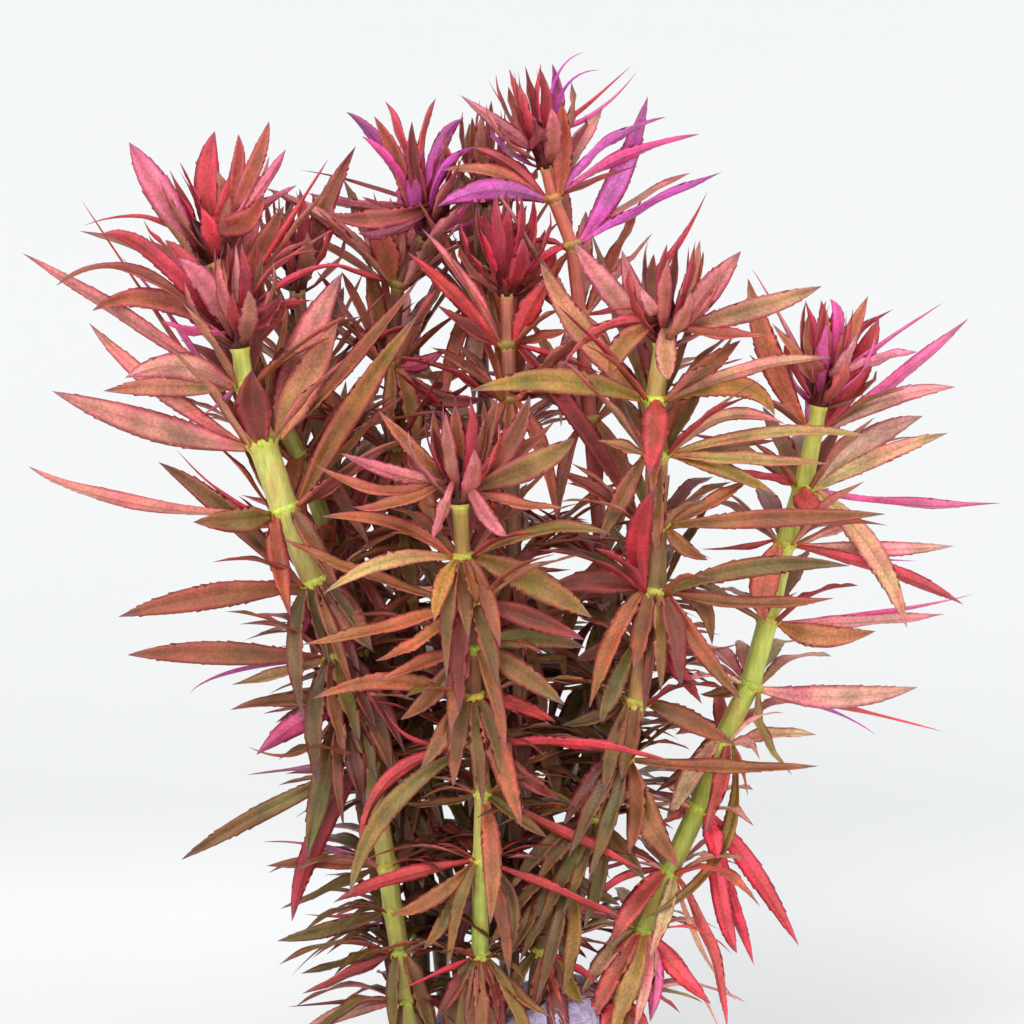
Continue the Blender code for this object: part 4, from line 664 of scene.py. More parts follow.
class Sheet:
    def __init__(self):
        self.points, self.faces, self.colours, self.places, self.seeds = [], [], [], [], []
        self.count = 0

    def add(self, points, faces, colours, places, seed):
        self.points.append(np.asarray(points, float))
        self.faces.extend(tuple(corner + self.count for corner in face) for face in faces)
        self.colours.extend(colours)   # one for each face
        self.places.extend(places)     # along and across for each corner of each face
        self.seeds.extend([seed] * len(faces))
        self.count += len(points)

    def addPlain(self, points, faces, colour, spot=(0, 0), seed=0):  # one colour and place all over
        self.add(points, faces, [colour] * len(faces), [spot] * sum(len(face) for face in faces), seed)

    def make(self, name, material):
        mesh = bpy.data.meshes.new(name)
        mesh.from_pydata(np.concatenate(self.points).tolist(), [], self.faces)
        mesh.polygons.foreach_set("use_smooth", [True] * len(self.faces))
        colour = mesh.attributes.new("bladeColour", "FLOAT_COLOR", "FACE")
        colour.data.foreach_set("color", np.array([(*c, 1) for c in self.colours], np.float32).ravel())
        seed = mesh.attributes.new("bladeSeed", "FLOAT", "FACE")
        seed.data.foreach_set("value", np.array(self.seeds, np.float32))
        layer = mesh.uv_layers.new(name="blade")
        layer.uv.foreach_set("vector", np.array(self.places, np.float32).ravel())
        mesh.materials.append(material)
        piece = bpy.data.objects.new(name, mesh)
        bpy.context.scene.collection.objects.link(piece)
        return piece


def tubeFaces(rings, sides):  # the faces between rings of points that have as many sides each
    return [(row * sides + k, row * sides + (k + 1) % sides,
             (row + 1) * sides + (k + 1) % sides, (row + 1) * sides + k)
            for row in range(rings - 1) for k in range(sides)]


def flipped(faces):
    return [(a, d, c, b) for a, b, c, d in faces]


# One leaf blade: a thin closed shell with a creased midrib and toothed, slightly wavy margins

bladeLook = {
    "widestAt": 0.45, "rootWidth": 0.3, "rootCurve": 1.25,
    "threadBelow": 9, "threadWidth": 1.15,  # steps of the grid, and times the width seen
    "slenderTip": 0.5, "slenderBelow": 3.4, "slenderFrom": 0.3, "slenderOver": 0.35,
    "thickness": 0.26 * mm, "thinnerTip": 0.5, "thinnerEdge": 0.4, "thickHalf": 0.8 * mm,
    "keelWidth": 5 * mm, "keelHalf": 1.2 * mm, "keelCurve": 1.25, "flatterTip": 0.35,
    "ribHeight": 0.2 * mm, "deepestRib": 0.5, "ribHalf": 3 * mm,
    "toothPitch": 2.1 * mm, "plainPitch": 1.4, "fewestTeeth": 6, "toothPlace": (0.35, 0.45),
    "toothDepth": 0.25 * mm, "toothRange": 1.8, "toothLeftOut": 0.55, "toothless": 2.4 * mm,
    "notchDepth": 0.35, "notchAfter": 0.18, "lastRing": 0.99,
    "toothedFrom": 0.2, "toothedTo": 0.12, "toothedHalf": 1.2 * mm,
    "waveHeight": 0.55 * mm, "waves": (1.2, 1.6), "waveHalf": 2.2 * mm,
    "roll": 0.3, "rollFrom": 0.2,
    "across": (-1, -0.55, -0.09, 0, 0.09, 0.55, 1),
    "acrossPlain": (-1, -0.5, 0, 0.5, 1),
}


def bladeOutline(t):
    widest, root = bladeLook["widestAt"], bladeLook["rootWidth"]
    if t < widest:
        return root + (1 - root) * math.sin(math.pi / 2 * t / widest) ** bladeLook["rootCurve"]
    return 1 - ((t - widest) / (1 - widest)) ** 2


def bladeTangent(leaf, bend, t):
    return ((1 - t) * (bend - leaf["base"]) + t * (leaf["tip"] - bend)).normalized()


def bladeNormal(leaf, bend):  # how the table turns the blade's upper side
    tangent = bladeTangent(leaf, bend, leaf.get("turnedAt", 0.5))
    if leaf["turned"] is None:
        return tangent.cross(Vector((0, 0, 1))).normalized().cross(tangent)
    facing, amount = leaf["turned"]
    towards = squareTo(tangent, towardsCamera)
    sign = 1 if (leaf["tip"] - leaf["base"]).cross(towardsCamera).z >= 0 else -1
    return facing * amount * towards + math.sqrt(1 - amount * amount) * sign * tangent.cross(towards)


def bladeStations(length, plain, chance):  # shares of the length, with the left and right tooth there
    pitch = bladeLook["toothPitch"] * (bladeLook["plainPitch"] if plain else 1)
    teeth = max(bladeLook["fewestTeeth"], round(length / pitch))
    stations = [(0, 0, 0)]
    for tooth in range(teeth):
        at = (tooth + pick(chance, *bladeLook["toothPlace"])) / teeth
        left, right = [max(0, chance.random() * bladeLook["toothRange"] - bladeLook["toothLeftOut"])
                       for _ in range(2)]
        after = min(bladeLook["lastRing"], at + bladeLook["notchAfter"] / teeth)
        notch = -bladeLook["notchDepth"]
        stations += [(at, left, right), (after, notch * left, notch * right)]
    return stations


def bladeForm(leaf, keel, chance):
    width, bend = leaf["width"], 2 * leaf["middle"] - (leaf["base"] + leaf["tip"]) / 2
    return {
        "bend": bend, "facing": bladeNormal(leaf, bend),
        "keel": keel * min(1, width / bladeLook["keelWidth"]),
        "wave": chance.random() * math.tau, "otherWave": chance.random() * math.tau,
        "waves": pick(chance, *bladeLook["waves"]), "roll": (chance.random() - 0.5) * bladeLook["roll"],
        "tooth": bladeLook["toothDepth"] * held(width / bladeLook["toothless"] - 1),
        "slender": bladeLook["slenderTip"] * held(bladeLook["slenderBelow"] - width / mm),
    }


def bladeRing(leaf, form, line, t, leftTooth, rightTooth):  # points of the upper side, then the underside
    tangent = bladeTangent(leaf, form["bend"], t)
    normal = squareTo(tangent, form["facing"])
    side = tangent.cross(normal)
    twist = form["roll"] * (t - bladeLook["rollFrom"])
    side, normal = around(side, normal, twist), normal * math.cos(twist) - side * math.sin(twist)
    spine = (1 - t) ** 2 * leaf["base"] + 2 * t * (1 - t) * form["bend"] + t * t * leaf["tip"]
    narrowed = form["slender"] * held((t - bladeLook["slenderFrom"]) / bladeLook["slenderOver"])
    half = leaf["width"] / 2 * bladeOutline(t) * (1 - narrowed)
    toothed = form["tooth"] * min(1, half / bladeLook["toothedHalf"])
    toothed *= min(1, t / bladeLook["toothedFrom"]) * min(1, (1 - t) / bladeLook["toothedTo"])
    thick = bladeLook["thickness"] * min(1, half / bladeLook["thickHalf"]) * (1 - bladeLook["thinnerTip"] * t)
    keel = -form["keel"] * (1 - bladeLook["flatterTip"] * t) * min(1, half / bladeLook["keelHalf"])
    wavy = bladeLook["waveHeight"] * min(1, half / bladeLook["waveHalf"])
    ring = []
    for u in line:
        out = half * u
        if abs(u) == 1:
            out += u * toothed * (leftTooth if u < 0 else rightTooth)
        turn = math.tau * form["waves"] * t + form["wave"] + (form["otherWave"] if u > 0 else 0)
        lift = keel * (1 - abs(u) ** bladeLook["keelCurve"]) + wavy * u * u * math.sin(turn)
        ring.append((spine + out * side + lift * normal, abs(u)))
    rib = bladeLook["ribHeight"] * min(bladeLook["deepestRib"], half / bladeLook["ribHalf"])
    upper, under = [], []
    for spot, u in ring:
        shell = thick / 2 * (1 - u * bladeLook["thinnerEdge"])
        upper.append(spot + (0 if u == 1 else shell - (rib if u == 0 else 0)) * normal)
        under.append(spot - (shell + (2 * rib if u == 0 else 0)) * normal)
    return upper + under[-2:0:-1]


def bladeFaces(line, stations, colours):
    across = [(u + 1) / 2 for u in line + line[-2:0:-1]]
    sides, above, last = len(across), len(line) - 1, (len(stations) - 1) * len(across)
    upper, under = colours
    strip = [upper if k < above else under for k in range(sides)]
    faces = [tuple(reversed(range(sides))), *tubeFaces(len(stations), sides)]
    faces += [(last + k, last + (k + 1) % sides, last + sides) for k in range(sides)]
    places = [(0, a) for a in reversed(across)]
    pairs = list(zip(across, across[1:] + across[:1]))
    for (t0, *_), (t1, *_) in zip(stations, stations[1:]):
        for a, b in pairs:
            places += [(t0, a), (t0, b), (t1, b), (t1, a)]
    for a, b in pairs:
        places += [(stations[-1][0], a), (stations[-1][0], b), (1, 0.5)]
    return faces, [upper] + strip * len(stations), places


def addBlade(sheet, leaf, chance, keel=solid["keel"], plain=False):
    length = (leaf["middle"] - leaf["base"]).length + (leaf["tip"] - leaf["middle"]).length
    line = bladeLook["acrossPlain" if plain else "across"]
    stations = bladeStations(length, plain, chance)
    form = bladeForm(leaf, keel, chance)
    points = [point for station in stations for point in bladeRing(leaf, form, line, *station)]
    sheet.add(points + [leaf["tip"]], *bladeFaces(line, stations, leaf["colours"]), chance.random())


# Node groups and materials

def join(tree, socket, value):  # another node's socket, or a plain value
    if isinstance(value, bpy.types.NodeSocket):
        tree.links.new(value, socket)
    else:
        socket.default_value = value


def wire(tree, kind, values=None, **settings):
    node = tree.nodes.new(kind)
    for name, value in settings.items():
        setattr(node, name, value)
    for name, value in (values or {}).items():
        join(tree, node.inputs[name], value)
    return node


def maths(tree, operation, *values):
    return wire(tree, "ShaderNodeMath", dict(enumerate(values)), operation=operation).outputs[0]


def product(tree, first, second):
    return maths(tree, "MULTIPLY", first, second)


def between(tree, value, low, high, fromValue=0.0, toValue=1.0):  # eases from one value to another
    given = {"Value": value, "From Min": low, "From Max": high, "To Min": fromValue, "To Max": toValue}
    return wire(tree, "ShaderNodeMapRange", given, interpolation_type="SMOOTHSTEP").outputs["Result"]


def blend(tree, share, first, second, mode="MIX"):
    given = {0: share, 6: first, 7: second}
    return wire(tree, "ShaderNodeMix", given, data_type="RGBA", blend_type=mode).outputs[2]


def shade(tree, colour, by):
    return blend(tree, 1.0, colour, by, "MULTIPLY")


def brighten(tree, colour, light):
    return wire(tree, "ShaderNodeVectorMath", {0: colour, "Scale": light}, operation="SCALE").outputs[0]


def noiseOf(tree, where, scale, detail, output="Fac"):
    given = {"Vector": where, "Scale": scale, "Detail": detail}
    return wire(tree, "ShaderNodeTexNoise", given).outputs[output]


def objectPlace(tree):
    return tree.nodes.new("ShaderNodeTexCoord").outputs["Object"]


def axesOf(tree, vector):
    return wire(tree, "ShaderNodeSeparateXYZ", {0: vector}).outputs


def bladePlace(tree):  # along the blade as X and across it as Y
    return axesOf(tree, wire(tree, "ShaderNodeUVMap", uv_map="blade").outputs[0])


def groupOf(name, inputs, outputs):
    tree = bpy.data.node_groups.new(name, "ShaderNodeTree")
    for label, kind, value in inputs:
        socket = tree.interface.new_socket(label, in_out="INPUT", socket_type=kind)
        socket.default_value = value
    for label, kind in outputs:
        tree.interface.new_socket(label, in_out="OUTPUT", socket_type=kind)
    return tree, tree.nodes.new("NodeGroupInput").outputs, tree.nodes.new("NodeGroupOutput").inputs


def newMaterial(name, specular):
    material = bpy.data.materials.new(name)
    material.use_nodes = True
    shader = material.node_tree.nodes["Principled BSDF"]
    shader.inputs["Specular IOR Level"].default_value = specular
    return material, material.node_tree, shader


def feed(tree, shader, colour, roughness, height, look):
    bump = wire(tree, "ShaderNodeBump", {
        "Height": height, "Strength": look["bumpStrength"], "Distance": look["bumpDistance"]})
    tree.links.new(colour, shader.inputs["Base Color"])
    tree.links.new(roughness, shader.inputs["Roughness"])
    tree.links.new(bump.outputs["Normal"], shader.inputs["Normal"])


leafSkin = {
    "driftScale": 60.0, "cloudScale": 110.0, "patchScale": 260.0, "grainScale": 1400.0,
    "drift": (0.36, 0.64), "patch": (0.36, 0.6), "cloudLight": (0.28, 0.72, 0.74, 1.3),
    "grainLight": (0.3, 0.7, 0.8, 1.2), "grainRoughness": (0.2, 0.8, 0.36, 0.52),
    "veins": 17.0, "veinSlant": 2.2, "veinWidth": 0.32, "veinDark": 0.1,
    "patchedFrom": (0.25, 0.95, 1.0, 0.25), "middle": (0.15, 0.8, 1.0, 0.0),
    "rib": (0.03, 0.12, 1.0, 0.0), "edge": (0.45, 1.0), "rim": (0.9, 1.0), "end": (0.84, 1.0),
    "endAmount": 0.5, "endColour": (0.14, 0.09, 0.15, 1), "rosyHeights": (0.06, 0.2, 0.35, 1.0),
    "grainHeight": 0.35, "veinHeight": 0.6, "bumpStrength": 0.35, "bumpDistance": 0.3 * mm,
    "specular": 0.45,
}


def makeBladeGroup():
    tree, given, result = groupOf("leafBlade", (
        ("Blade Colour", "NodeSocketColor", (0.5, 0.2, 0.1, 1)), ("Along", "NodeSocketFloat", 0.5),
        ("Across", "NodeSocketFloat", 0.5), ("Seed", "NodeSocketFloat", 0.0),
        ("Redder Shade", "NodeSocketColor", (1.2, 0.9, 0.9, 1)),
        ("Greener Shade", "NodeSocketColor", (0.8, 1.1, 0.8, 1)),
        ("Patch Shade", "NodeSocketColor", (0.7, 0.8, 0.5, 1)), ("Patch Amount", "NodeSocketFloat", 0.5),
        ("Middle Shade", "NodeSocketColor", (0.7, 0.7, 0.6, 1)), ("Middle Amount", "NodeSocketFloat", 0.5),
        ("Base Shade", "NodeSocketColor", (0.5, 0.35, 0.4, 1)), ("Base Reach", "NodeSocketFloat", 0.25),
        ("Edge Tint", "NodeSocketColor", (0.6, 0.08, 0.12, 1)), ("Edge Amount", "NodeSocketFloat", 0.4),
        ("Rim Tint", "NodeSocketColor", (0.16, 0.06, 0.08, 1)), ("Rim Amount", "NodeSocketFloat", 0.4),
        ("Rib Colour", "NodeSocketColor", (0.7, 0.25, 0.2, 1)), ("Rib Amount", "NodeSocketFloat", 0.35),
    ), (("Colour", "NodeSocketColor"), ("Roughness", "NodeSocketFloat"), ("Height", "NodeSocketFloat")))
    where = objectPlace(tree)
    away = wire(tree, "ShaderNodeCombineXYZ", {  # each leaf takes its marks from another place
        "X": given["Seed"], "Y": product(tree, given["Seed"], 3.7), "Z": 0.0}).outputs[0]
    shifted = wire(tree, "ShaderNodeVectorMath", {0: where, 1: away}).outputs[0]
    drift, cloud, patch, grain = [
        noiseOf(tree, shifted, leafSkin[kind + "Scale"], detail)
        for kind, detail in (("drift", 2.5), ("cloud", 3.0), ("patch", 2.0), ("grain", 3.0))]
    beside = maths(tree, "ABSOLUTE", maths(tree, "SUBTRACT", product(tree, given["Across"], 2.0), 1.0))
    slant = maths(tree, "SUBTRACT", product(tree, given["Along"], leafSkin["veins"]),
                  product(tree, beside, leafSkin["veinSlant"]))
    stripes = maths(tree, "ABSOLUTE", maths(tree, "SINE", product(tree, slant, math.pi)))
    vein = between(tree, stripes, 0.0, leafSkin["veinWidth"], 1.0, 0.0)
    rib, edge, rim, middle = [
        between(tree, beside, *leafSkin[kind]) for kind in ("rib", "edge", "rim", "middle")]
    foot = between(tree, given["Along"], 0.0, given["Base Reach"], 1.0, 0.0)
    end = between(tree, given["Along"], *leafSkin["end"])
    patches = product(tree, between(tree, patch, *leafSkin["patch"]),
                      between(tree, beside, *leafSkin["patchedFrom"]))
    height = axesOf(tree, where)["Z"]
    edge = product(tree, edge, between(tree, height, *leafSkin["rosyHeights"]))  # rosier towards the light

    drifted = between(tree, drift, *leafSkin["drift"])
    hue = blend(tree, drifted, given["Redder Shade"], given["Greener Shade"])
    colour = shade(tree, given["Blade Colour"], hue)
    for mask, part in ((patches, "Patch"), (middle, "Middle")):
        shaded = shade(tree, colour, given[part + " Shade"])
        colour = blend(tree, product(tree, mask, given[part + " Amount"]), colour, shaded)
    light = product(tree, between(tree, cloud, *leafSkin["cloudLight"]),
                    between(tree, grain, *leafSkin["grainLight"]))
    light = maths(tree, "SUBTRACT", light, product(tree, vein, leafSkin["veinDark"]))
    colour = brighten(tree, colour, light)
    for mask, part, kind in ((edge, "Edge", "Tint"), (rim, "Rim", "Tint"), (rib, "Rib", "Colour")):
        share = product(tree, mask, given[part + " Amount"])
        colour = blend(tree, share, colour, given[f"{part} {kind}"])
    colour = blend(tree, foot, colour, shade(tree, colour, given["Base Shade"]))
    colour = blend(tree, product(tree, end, leafSkin["endAmount"]), colour, leafSkin["endColour"])
    raised = maths(tree, "SUBTRACT", product(tree, grain, leafSkin["grainHeight"]),
                   product(tree, vein, leafSkin["veinHeight"]))
    tree.links.new(colour, result["Colour"])
    tree.links.new(between(tree, grain, *leafSkin["grainRoughness"]), result["Roughness"])
    tree.links.new(raised, result["Height"])
    return tree


def makeLeafMaterial(name, group, values):
    material, tree, shader = newMaterial(name, leafSkin["specular"])
    colour = wire(tree, "ShaderNodeAttribute", attribute_name="bladeColour").outputs["Color"]
    seed = wire(tree, "ShaderNodeAttribute", attribute_name="bladeSeed").outputs["Fac"]
    spot = bladePlace(tree)
    given = {"Blade Colour": colour, "Along": spot["X"], "Across": spot["Y"], "Seed": seed, **values}
    blade = wire(tree, "ShaderNodeGroup", given, node_tree=group).outputs
    feed(tree, shader, blade["Colour"], blade["Roughness"], blade["Height"], leafSkin)
    return material


bladeGroup = makeBladeGroup()
leafMaterial = makeLeafMaterial("leafOfTheNodes", bladeGroup, {
    "Redder Shade": (1.14, 0.84, 0.92, 1), "Greener Shade": (0.86, 1.08, 0.8, 1),
    "Patch Shade": (0.68, 0.86, 0.6, 1), "Patch Amount": 0.6,
    "Middle Shade": (0.8, 0.92, 0.72, 1), "Middle Amount": 0.6,
    "Base Shade": (1.15, 1.2, 0.85, 1), "Base Reach": 0.13,
    "Edge Tint": (*paint(208, 88, 92), 1), "Edge Amount": 0.5,
    "Rim Tint": (*paint(104, 62, 68), 1), "Rim Amount": 0.4,
    "Rib Colour": (*paint(128, 74, 54), 1), "Rib Amount": 0.3,
})
crownMaterial = makeLeafMaterial("leafOfTheCrown", bladeGroup, {
    "Redder Shade": (1.1, 0.84, 1.16, 1), "Greener Shade": (0.9, 1.04, 0.96, 1),
    "Patch Shade": (0.74, 0.74, 0.62, 1), "Patch Amount": 0.6,
    "Middle Shade": (0.76, 0.68, 0.56, 1), "Middle Amount": 0.75,
    "Base Shade": (0.36, 0.24, 0.24, 1), "Base Reach": 0.3,
    "Edge Tint": (*paint(226, 84, 112), 1), "Edge Amount": 0.5,
    "Rim Tint": (*paint(124, 52, 70), 1), "Rim Amount": 0.35,
    "Rib Colour": (*paint(170, 84, 76), 1), "Rib Amount": 0.25,
})

stemSkin = {
    "streakScale": 1100.0, "streakStretch": (1.0, 1.0, 0.12), "cloudScale": 160.0, "ridges": 9,
    "streakLight": (0.3, 0.7, 0.88, 1.1), "cloudLight": (0.3, 0.7, 0.82, 1.14),
    "ridgeShadeAndHighlight": (0.0, 0.4, 0.86, 1.03), "streakRoughness": (0.3, 0.7, 0.36, 0.55),
    "blush": (*paint(188, 104, 74), 1), "blushed": (0.52, 0.68), "blushAmount": 0.4,
    "bumpStrength": 0.3, "bumpDistance": 0.2 * mm, "specular": 0.4,
}


def makeStemMaterial():
    material, tree, shader = newMaterial("stemSkin", stemSkin["specular"])
    colour = wire(tree, "ShaderNodeAttribute", attribute_name="bladeColour").outputs["Color"]
    where = objectPlace(tree)
    stretched = wire(tree, "ShaderNodeMapping", {
        "Vector": where, "Scale": stemSkin["streakStretch"]}).outputs[0]
    streak = noiseOf(tree, stretched, stemSkin["streakScale"], 2.0)
    cloud = noiseOf(tree, where, stemSkin["cloudScale"], 3.0)
    turns = product(tree, bladePlace(tree)["Y"], math.pi * stemSkin["ridges"])
    ridge = maths(tree, "ABSOLUTE", maths(tree, "SINE", turns))
    light = product(tree, between(tree, streak, *stemSkin["streakLight"]),
                    between(tree, cloud, *stemSkin["cloudLight"]))
    # painted shade in the grooves between the ridges, with a faint painted highlight on the ridges
    light = product(tree, light, between(tree, ridge, *stemSkin["ridgeShadeAndHighlight"]))
    blush = product(tree, between(tree, cloud, *stemSkin["blushed"]), stemSkin["blushAmount"])
    skin = blend(tree, blush, brighten(tree, colour, light), stemSkin["blush"])
    roughness = between(tree, streak, *stemSkin["streakRoughness"])
    feed(tree, shader, skin, roughness, maths(tree, "ADD", streak, ridge), stemSkin)
    return material


woolSkin = {
    "bendScale": 120.0, "bend": 0.006, "fibreStretch": (0.25, 1.0, 1.0), "fibreTurn": (0.4, 0.3, 0.5),
    "fibreScale": 1800.0, "cloudScale": 190.0,
    "dark": (*paint(182, 166, 198), 1), "pale": (*paint(216, 202, 230), 1), "cloud": (0.38, 0.62),
    "furrowShade": (*paint(112, 98, 128), 1), "shadedFurrows": (0.42, 0.58, 1.0, 0.0), "furrowShadeAmount": 0.4,
    "fibreRoughness": (0.3, 0.7, 0.8, 1.0), "bumpStrength": 0.7, "bumpDistance": 0.8 * mm, "specular": 0.1,
}


def makeWoolMaterial():
    material, tree, shader = newMaterial("rockWool", woolSkin["specular"])
    where = objectPlace(tree)
    bent = brighten(tree, noiseOf(tree, where, woolSkin["bendScale"], 2.0, "Color"), woolSkin["bend"])
    curled = wire(tree, "ShaderNodeVectorMath", {0: where, 1: bent}).outputs[0]
    stretched = wire(tree, "ShaderNodeMapping", {
        "Vector": curled, "Scale": woolSkin["fibreStretch"], "Rotation": woolSkin["fibreTurn"]}).outputs[0]
    fibre = noiseOf(tree, stretched, woolSkin["fibreScale"], 4.0)
    cloud = noiseOf(tree, where, woolSkin["cloudScale"], 4.0)
    colour = blend(tree, between(tree, cloud, *woolSkin["cloud"]), woolSkin["dark"], woolSkin["pale"])
    # painted shade: darker in the low furrows between the fibres, where the bump sinks
    shadedFurrows = product(tree, between(tree, fibre, *woolSkin["shadedFurrows"]), woolSkin["furrowShadeAmount"])
    colour = blend(tree, shadedFurrows, colour, woolSkin["furrowShade"])
    feed(tree, shader, colour, between(tree, fibre, *woolSkin["fibreRoughness"]), fibre, woolSkin)
    return material


stemMaterial = makeStemMaterial()
woolMaterial = makeWoolMaterial()
print("materials made")

# Stems

stemLook = {
    "sides": 18, "step": 1.2 * mm, "fewestRings": 12,
    "ribs": 6, "ribDepth": 0.035,
    "nodeSwell": 0.28, "nodeReach": 2.2 * mm, "nodeBlend": 1.6,
}
stemColours = {  # from the top of each stem to its foot
    "left_front": ((200, 206, 100), (196, 198, 100), (200, 190, 104), (160, 116, 66), (128, 104, 56),
                   (150, 130, 70), (190, 186, 92), (196, 188, 98), (170, 164, 84)),
    "left_back": ((196, 124, 94), (190, 196, 96), (150, 120, 64), (104, 90, 46), (96, 86, 42)),
    "back_left": ((140, 84, 60), (112, 86, 50), (92, 78, 42), (80, 70, 38), (76, 68, 38)),
    "top_left": ((110, 60, 50), (118, 74, 50), (100, 78, 46), (84, 74, 40), (78, 70, 38)),
    "back": ((130, 96, 56), (104, 84, 48), (88, 76, 42), (80, 70, 38), (76, 68, 38)),
    "top": ((206, 108, 88), (200, 108, 92), (140, 78, 58), (92, 72, 42), (84, 76, 42)),
    "centre": ((190, 110, 92), (140, 92, 62), (98, 76, 44), (82, 72, 40), (80, 72, 40)),
    "centre_right": ((206, 186, 104), (176, 128, 76), (158, 104, 62), (128, 104, 56), (176, 126, 76),
                     (160, 136, 70), (136, 112, 58), (118, 100, 52), (116, 98, 50), (110, 96, 48)),
    "right": ((206, 206, 96), (200, 208, 94), (192, 202, 90), (180, 192, 84), (176, 186, 84),
              (156, 166, 76)),
    "front": ((180, 150, 74), (160, 110, 66), (140, 84, 54), (140, 88, 54), (184, 164, 88),
              (196, 198, 100), (190, 206, 96), (170, 178, 86), (150, 152, 72)),
}
clearShoots = ("left_front", "front", "centre_right", "right")
nodeLook = {"colour": paint(208, 206, 88), "clear": 0.85, "hidden": 0.3}  # how yellow a node is


def stemShade(shoot, part):
    colours = [paint(*levels) for levels in stemColours[shoot]]
    spot = held(part) * (len(colours) - 1)
    first = min(int(spot), len(colours) - 2)
    return mixed(colours[first], colours[first + 1], spot - first)


def nodeShade(shoot, path, down):
    part = (down - path[0][1]) / (path[-1][1] - path[0][1])
    yellow = nodeLook["clear" if shoot in clearShoots else "hidden"]
    return mixed(stemShade(shoot, part), nodeLook["colour"], yellow)


def addStem(sheet, shoot, path, nodeDowns):
    top, foot, sides = path[0][1], path[-1][1], stemLook["sides"]
    rings = max(stemLook["fewestRings"], round((foot - top) * view["gridStep"] / stemLook["step"]))
    nodeHeights = [stemPlace(path, down).z for down in nodeDowns]
    points, shades = [], []
    for ring in range(rings + 1):
        down = top + (foot - top) * ring / rings
        centre, radius = stemPlace(path, down), stemRadius(path, down)
        side, deep = besides(stemAxis(path, down))
        near = min(abs(centre.z - height) for height in nodeHeights)
        swell = max(0, 1 - near / stemLook["nodeReach"]) ** 2
        yellow = min(1, swell * stemLook["nodeBlend"])
        shades.append(mixed(stemShade(shoot, ring / rings), nodeShade(shoot, path, down), yellow))
        for k in range(sides):
            angle = math.tau * k / sides
            rib = stemLook["ribDepth"] * math.cos(stemLook["ribs"] * angle)
            ribbed = radius * (1 + rib + stemLook["nodeSwell"] * swell)
            points.append(centre + ribbed * around(side, deep, angle))
    faces, last = [tuple(range(sides))], rings * sides
    faces += flipped(tubeFaces(rings + 1, sides))
    faces.append(tuple(last + k for k in reversed(range(sides))))
    faceShades = [shades[0]] + [shades[ring] for ring in range(rings) for _ in range(sides)] + [shades[-1]]
    places = [(0, 0)] * sides
    for ring in range(rings):
        p, q = ring / rings, (ring + 1) / rings
        for k in range(sides):
            a, b = k / sides, (k + 1) / sides
            places += [(p, a), (q, a), (q, b), (p, b)]
    sheet.add(points, faces, faceShades, places + [(1, 0)] * sides, 0)


# Collars: the swollen, yellow-green ring that a whorl grows from

collarLook = {
    "tall": 1.9 * mm, "reach": 1.25 * mm, "lowTall": 1.6 * mm, "lowReach": 1.0 * mm,
    "inner": 0.92, "sides": 20, "lobes": 7, "lobeDepth": 0.12, "varies": 0.05,
    "profile": ((0, -0.7), (0.35, -0.5), (0.8, -0.1), (1, 0.25), (0.6, 0.55), (0, 0.7)),  # out, up
    "bladeSpot": (0.5, 0.25),
}


def addCollar(sheet, shoot, path, down, chance, tall=collarLook["tall"], reach=collarLook["reach"]):
    centre, axis = stemPlace(path, down), stemAxis(path, down)
    side, deep = besides(axis)
    inner, colour = stemRadius(path, down) * collarLook["inner"], nodeShade(shoot, path, down)
    rows, sides = len(collarLook["profile"]), collarLook["sides"]
    start = chance.random() * math.tau
    points = []
    for k in range(sides):
        angle = math.tau * k / sides
        lobe = 1 + collarLook["lobeDepth"] * math.cos(collarLook["lobes"] * angle + start)
        for out, up in collarLook["profile"]:
            radius = (inner + reach * out) * (lobe if out > 0 else 1)
            points.append(centre + radius * around(side, deep, angle) + tall * up * axis)
    faces = []
    for k in range(sides):
        near, far = k * rows, (k + 1) % sides * rows
        faces += [(near + row, far + row, far + (row + 1) % rows, near + (row + 1) % rows)
                  for row in range(rows)]
    colours = [varied(colour, chance, collarLook["varies"]) for _ in faces]
    sheet.add(points, faces, colours, [collarLook["bladeSpot"]] * 4 * len(faces), chance.random())


# Crowns: young leaves packed round the tip of a stem

heartLook = {
    "leaves": 15, "shortest": 11 * mm, "longest": 22 * mm, "lengths": (0.85, 0.3),
    "width": 3.8 * mm, "narrowest": 0.75, "wider": 0.6, "keel": 0.5 * mm,
    "steepest": 4, "widest": 46, "leanCurve": 1.2, "bearing": 137.5, "firstBearing": 40,
    "highest": 6 * mm, "drop": 6.5 * mm, "innermost": 0.7 * mm, "spread": 0.9 * mm,
    "bow": 0.06, "outerBow": 0.12, "darkInner": 0.4, "tones": "ubr",
    "budRadius": 2.3 * mm, "budHeight": 13 * mm, "budSunk": 0.6 * mm, "budSides": 14, "budRows": 9,
    "budTwist": 0.9, "budFolds": 4, "budFoldDepth": 0.16, "budLeastRadius": 0.05 * mm,
    "budColour": paint(92, 30, 28), "budSpot": (0.5, 0.3), "budSeed": 0.3,
}


def addBud(sheet, foot, axis, side, deep):  # the folded youngest leaves, as one ribbed point
    sides, rows, points = heartLook["budSides"], heartLook["budRows"], []
    for row in range(rows):
        t = row / (rows - 1)
        radius = heartLook["budRadius"] * (0.85 + 0.5 * t) * math.cos(math.pi / 2 * t ** 1.6) ** 0.8
        for k in range(sides):
            angle = math.tau * k / sides + heartLook["budTwist"] * t
            fold = 1 + heartLook["budFoldDepth"] * math.cos(heartLook["budFolds"] * angle)
            ribbed = max(radius, heartLook["budLeastRadius"]) * fold
            points.append(foot + axis * heartLook["budHeight"] * t + ribbed * around(side, deep, angle))
    faces = [tuple(reversed(range(sides))), tuple(range((rows - 1) * sides, rows * sides))]
    faces += tubeFaces(rows, sides)
    sheet.addPlain(points, faces, heartLook["budColour"], heartLook["budSpot"], heartLook["budSeed"])


